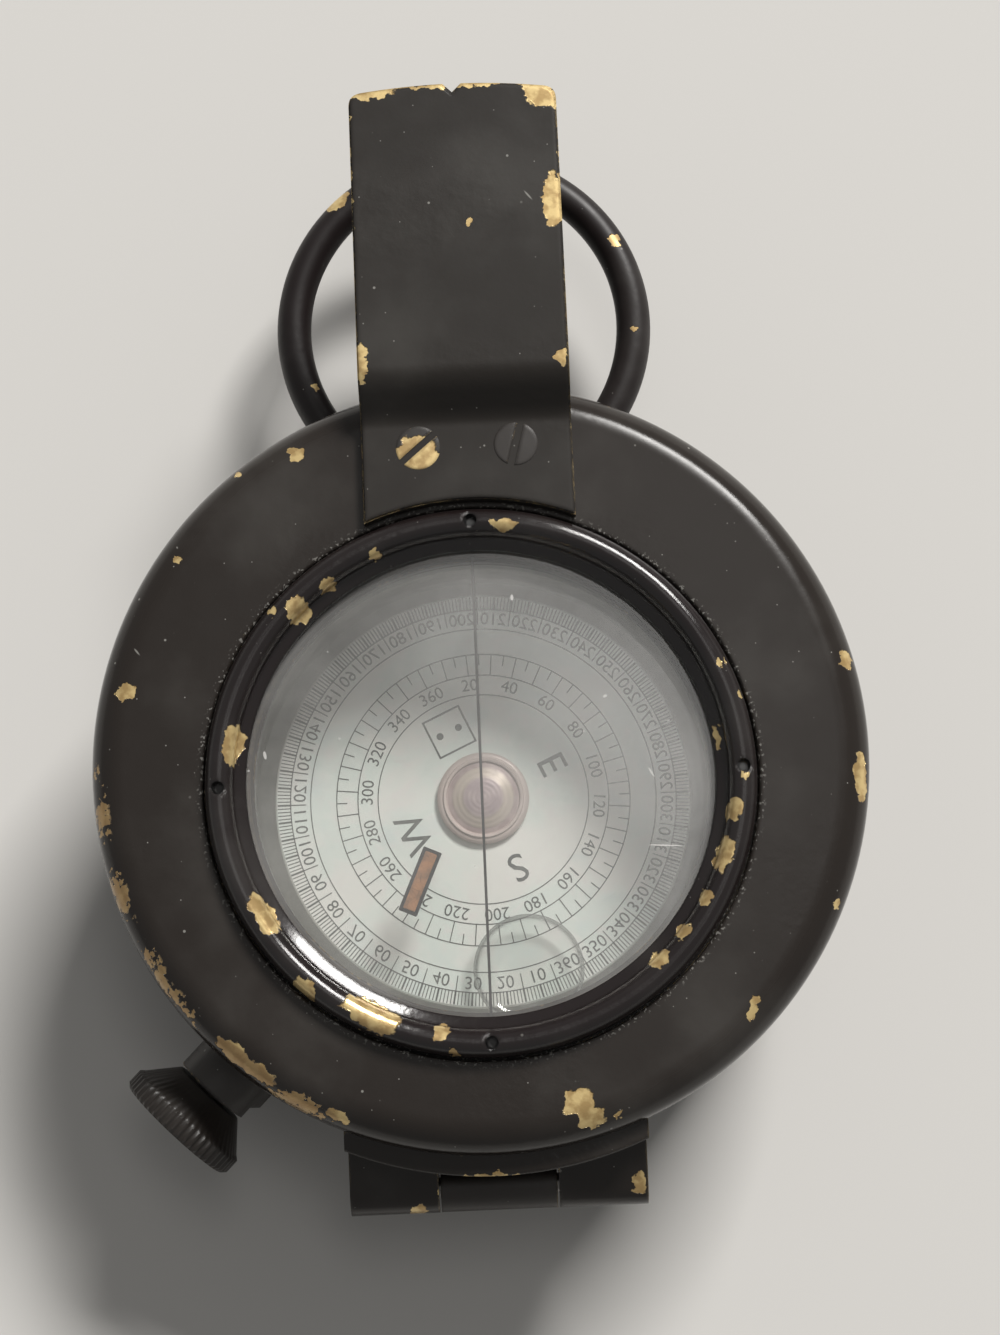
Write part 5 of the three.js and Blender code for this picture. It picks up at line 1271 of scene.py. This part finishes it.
def north_square(bm):
    """The square with two dots that marks north."""
    half, line = NORTH_HALF, BOLD_LINE
    low, high = LETTER_RADIUS - half, LETTER_RADIUS + half
    bar(bm, -half, low, half, low + line)
    bar(bm, -half, high - line, half, high)
    bar(bm, -half, low + line, line - half, high - line)
    bar(bm, half - line, low + line, half, high - line)
    outline = [(0, ink_low), (NORTH_DOT, ink_low), (NORTH_DOT, ink_high), (0, ink_high)]
    for side in (-1, 1):
        dot = turned(outline, SMALL_SIDES // 2, closed=False)
        add(bm, dot, Matrix.Translation((side * half / 2, LETTER_RADIUS, 0)))


def card_print():
    bm = bmesh.new()
    tens = range(10, 370, 10)
    shapes = lettering([*map(str, tens), "E", "S", "W"])
    for word, azimuth in (("E", 90), ("S", 180), ("W", 270)):
        write(bm, shapes[word], azimuth, LETTER_RADIUS, LETTER_SIZE)
    for radius in (INNER_CIRCLE, TICK_INNER, TICK_OUTER, OUTER_CIRCLE, RIM_INNER):
        circle(bm, radius, INK_LINE)
    for azimuth in range(0, 360, 5):
        tick(bm, azimuth, (TICK_INNER + TICK_OUTER) / 2 if azimuth % 10 else TICK_INNER, TICK_OUTER, INK_LINE)
    for azimuth in range(360):
        tick(bm, azimuth, RIM_INNER, RIM_OUTER, BOLD_LINE / 2 if azimuth % 5 else BOLD_LINE)
    for azimuth in range(5, 360, 10):
        tick(bm, azimuth, OUTER_CIRCLE + OUTER_TICK_GAP, RIM_INNER, INK_LINE)
    for degrees in range(20, 370, 20):
        write(bm, shapes[str(degrees)], degrees, INNER_FIGURES, INNER_SIZE)
    for degrees in tens:
        write(bm, shapes[str(degrees)], degrees + 180, OUTER_FIGURES, OUTER_SIZE, mirrored=True)
    for shape in shapes.values():
        shape.free()
    north_square(bm)
    bm.transform(Matrix.Rotation(radians(CARD_HEADING), 4, "Z"))
    return bm


piece("card_print", card_print(), print_ink, "card")


# Direction mark on the turning glass: luminous bar in a dark border
def direction_bar(width, length, low, high):
    bm = slab(-length / 2, -width / 2, length / 2, width / 2, low, high)
    rounded(bm, bm.edges[:], MARK_ROUND)
    bm.transform(Matrix.Translation((*MARK_CENTRE, 0)) @ Matrix.Rotation(radians(MARK_TURN), 4, "Z"))
    return bm


mark_low, mark_high = (corner.z for corner in box("direction_mark"))
inner_width, inner_length = MARK_WIDTH - 2 * MARK_BORDER, MARK_LENGTH - 2 * MARK_BORDER
opening = direction_bar(inner_width, inner_length, mark_low - MARK_BORDER, mark_high + MARK_BORDER)
border = carved(direction_bar(MARK_WIDTH, MARK_LENGTH, mark_low, mark_high - MARK_BORDER_DROP), opening)
stand_in("direction_mark", direction_bar(inner_width - MARK_FIT, inner_length - MARK_FIT, mark_low, mark_high))
piece("direction_mark_border", border, line_ink, "bezel")


# Sighting line on the underside of the lid glass
def hairline():
    reach = ring_high.x - WINDOW_RING_WIDTH
    half = HAIRLINE_WIDTH / 2
    low, high = pane_low.z - SEAT_GAP + HAIRLINE_HEIGHT / 2, pane_low.z - HAIRLINE_HEIGHT / 2
    return slab(-half, -reach, half, reach, low, high)


piece("hairline", hairline(), line_ink, "lid")


# Air bubble in the liquid, flat against the bowl glass
def air_bubble():
    top = box("bowl_glass")[0].z - SEAT_GAP
    lens = [
        (BUBBLE_RADIUS * sqrt(across), top - BUBBLE_DEPTH * down)
        for across, down in arc(1, (0, 0), 0, 90, BUBBLE_STEPS)[:-1]
    ]
    bm = turned([(0, top), *lens, (0, top - BUBBLE_DEPTH)], ROUND_SIDES, closed=False)
    bm.transform(Matrix.Translation((*BUBBLE_CENTRE, 0)))
    return bm


piece("air_bubble", air_bubble(), bubble_skin(), "case")


# Camera at the photograph's place
def photo_camera():
    axes = Matrix.Rotation(radians(CAMERA_TILT), 4, "X") @ Matrix.Rotation(radians(-CAMERA_ROLL), 4, "Z")
    aside, below_centre = (
        (pixel - extent / 2) / FOCAL_PIXELS for pixel, extent in zip(WINDOW_PIXEL, PHOTO_SIZE)
    )
    sight = axes @ Vector((aside, -below_centre, -1))
    place = Vector((0, 0, lid_top)) - WINDOW_DISTANCE * sight
    data = bpy.data.cameras.new("photo_camera")
    data.sensor_width = SENSOR
    data.lens = FOCAL_PIXELS * SENSOR / PHOTO_SIZE[1]
    data.clip_start = NEAR_CLIP
    camera = in_scene("photo_camera", data)
    camera.matrix_world = Matrix.Translation(place * MM) @ axes
    bpy.context.scene.camera = camera


# Pale floor, soft lamps and a pale world
def floor():
    bm = bmesh.new()
    bmesh.ops.create_grid(bm, x_segments=1, y_segments=1, size=FLOOR_HALF)
    thing = in_scene("floor", mesh_of(bm, "floor"))
    thing.location.z = -FLOOR_DROP * MM
    pale = blank("floor").principled(base_color=FLOOR_PALE, roughness=0.9, specular_ior_level=0.0)
    thing.data.materials.append(pale)


def softbox(name, place, turn, width, height, power):
    data = bpy.data.lights.new(name, "AREA")
    data.shape = "RECTANGLE"
    data.size = width
    data.size_y = height
    data.energy = power
    data.color = LAMP_TINT
    lamp = in_scene(name, data)
    lamp.location = place
    lamp.rotation_euler = turn
    return data


def fade(lamp, reach):
    """Lets a softbox grow from dark at its near edge to full at this share of its height."""
    graph = Graph(lamp)
    across = graph.node("SeparateXYZ", {0: graph.node("NewGeometry", {}, "Parametric")}, "Y")
    growth = graph.node("MapRange", {"Value": across, "From Max": reach})
    graph.feed(graph.nodes["Emission"].inputs["Strength"], growth)


def studio():
    world = bpy.data.worlds.new("studio")
    graph = Graph(world)
    eye, mirror, glass = graph.values("LightPath", {}, "Is Camera Ray", "Is Glossy Ray", "Is Transmission Ray")
    inputs = {"Value": eye | mirror | glass, "To Min": WORLD_STRENGTH, "To Max": BACKDROP_STRENGTH}
    sky = graph.nodes["Background"].inputs
    graph.feed(sky["Color"], SKY_PALE)
    graph.feed(sky["Strength"], graph.node("MapRange", inputs))
    bpy.context.scene.world = world
    level, rise = polar(1, KEY_ELEVATION)
    out = Vector((*polar(level, KEY_AZIMUTH), rise))
    aim = (-out).to_track_quat("-Z", "Y").to_euler()
    softbox("key", KEY_DISTANCE * out, aim, KEY_WIDTH, KEY_HEIGHT, KEY_POWER)
    spin = (0, 0, radians(VEIL_SPIN))
    fade(softbox("veil", VEIL_PLACE, spin, VEIL_WIDTH, VEIL_HEIGHT, VEIL_POWER), VEIL_FADE)


photo_camera()
floor()
studio()
bpy.context.scene.view_settings.view_transform = "Standard"
bpy.context.scene.cycles.transparent_max_bounces = PANE_BOUNCES
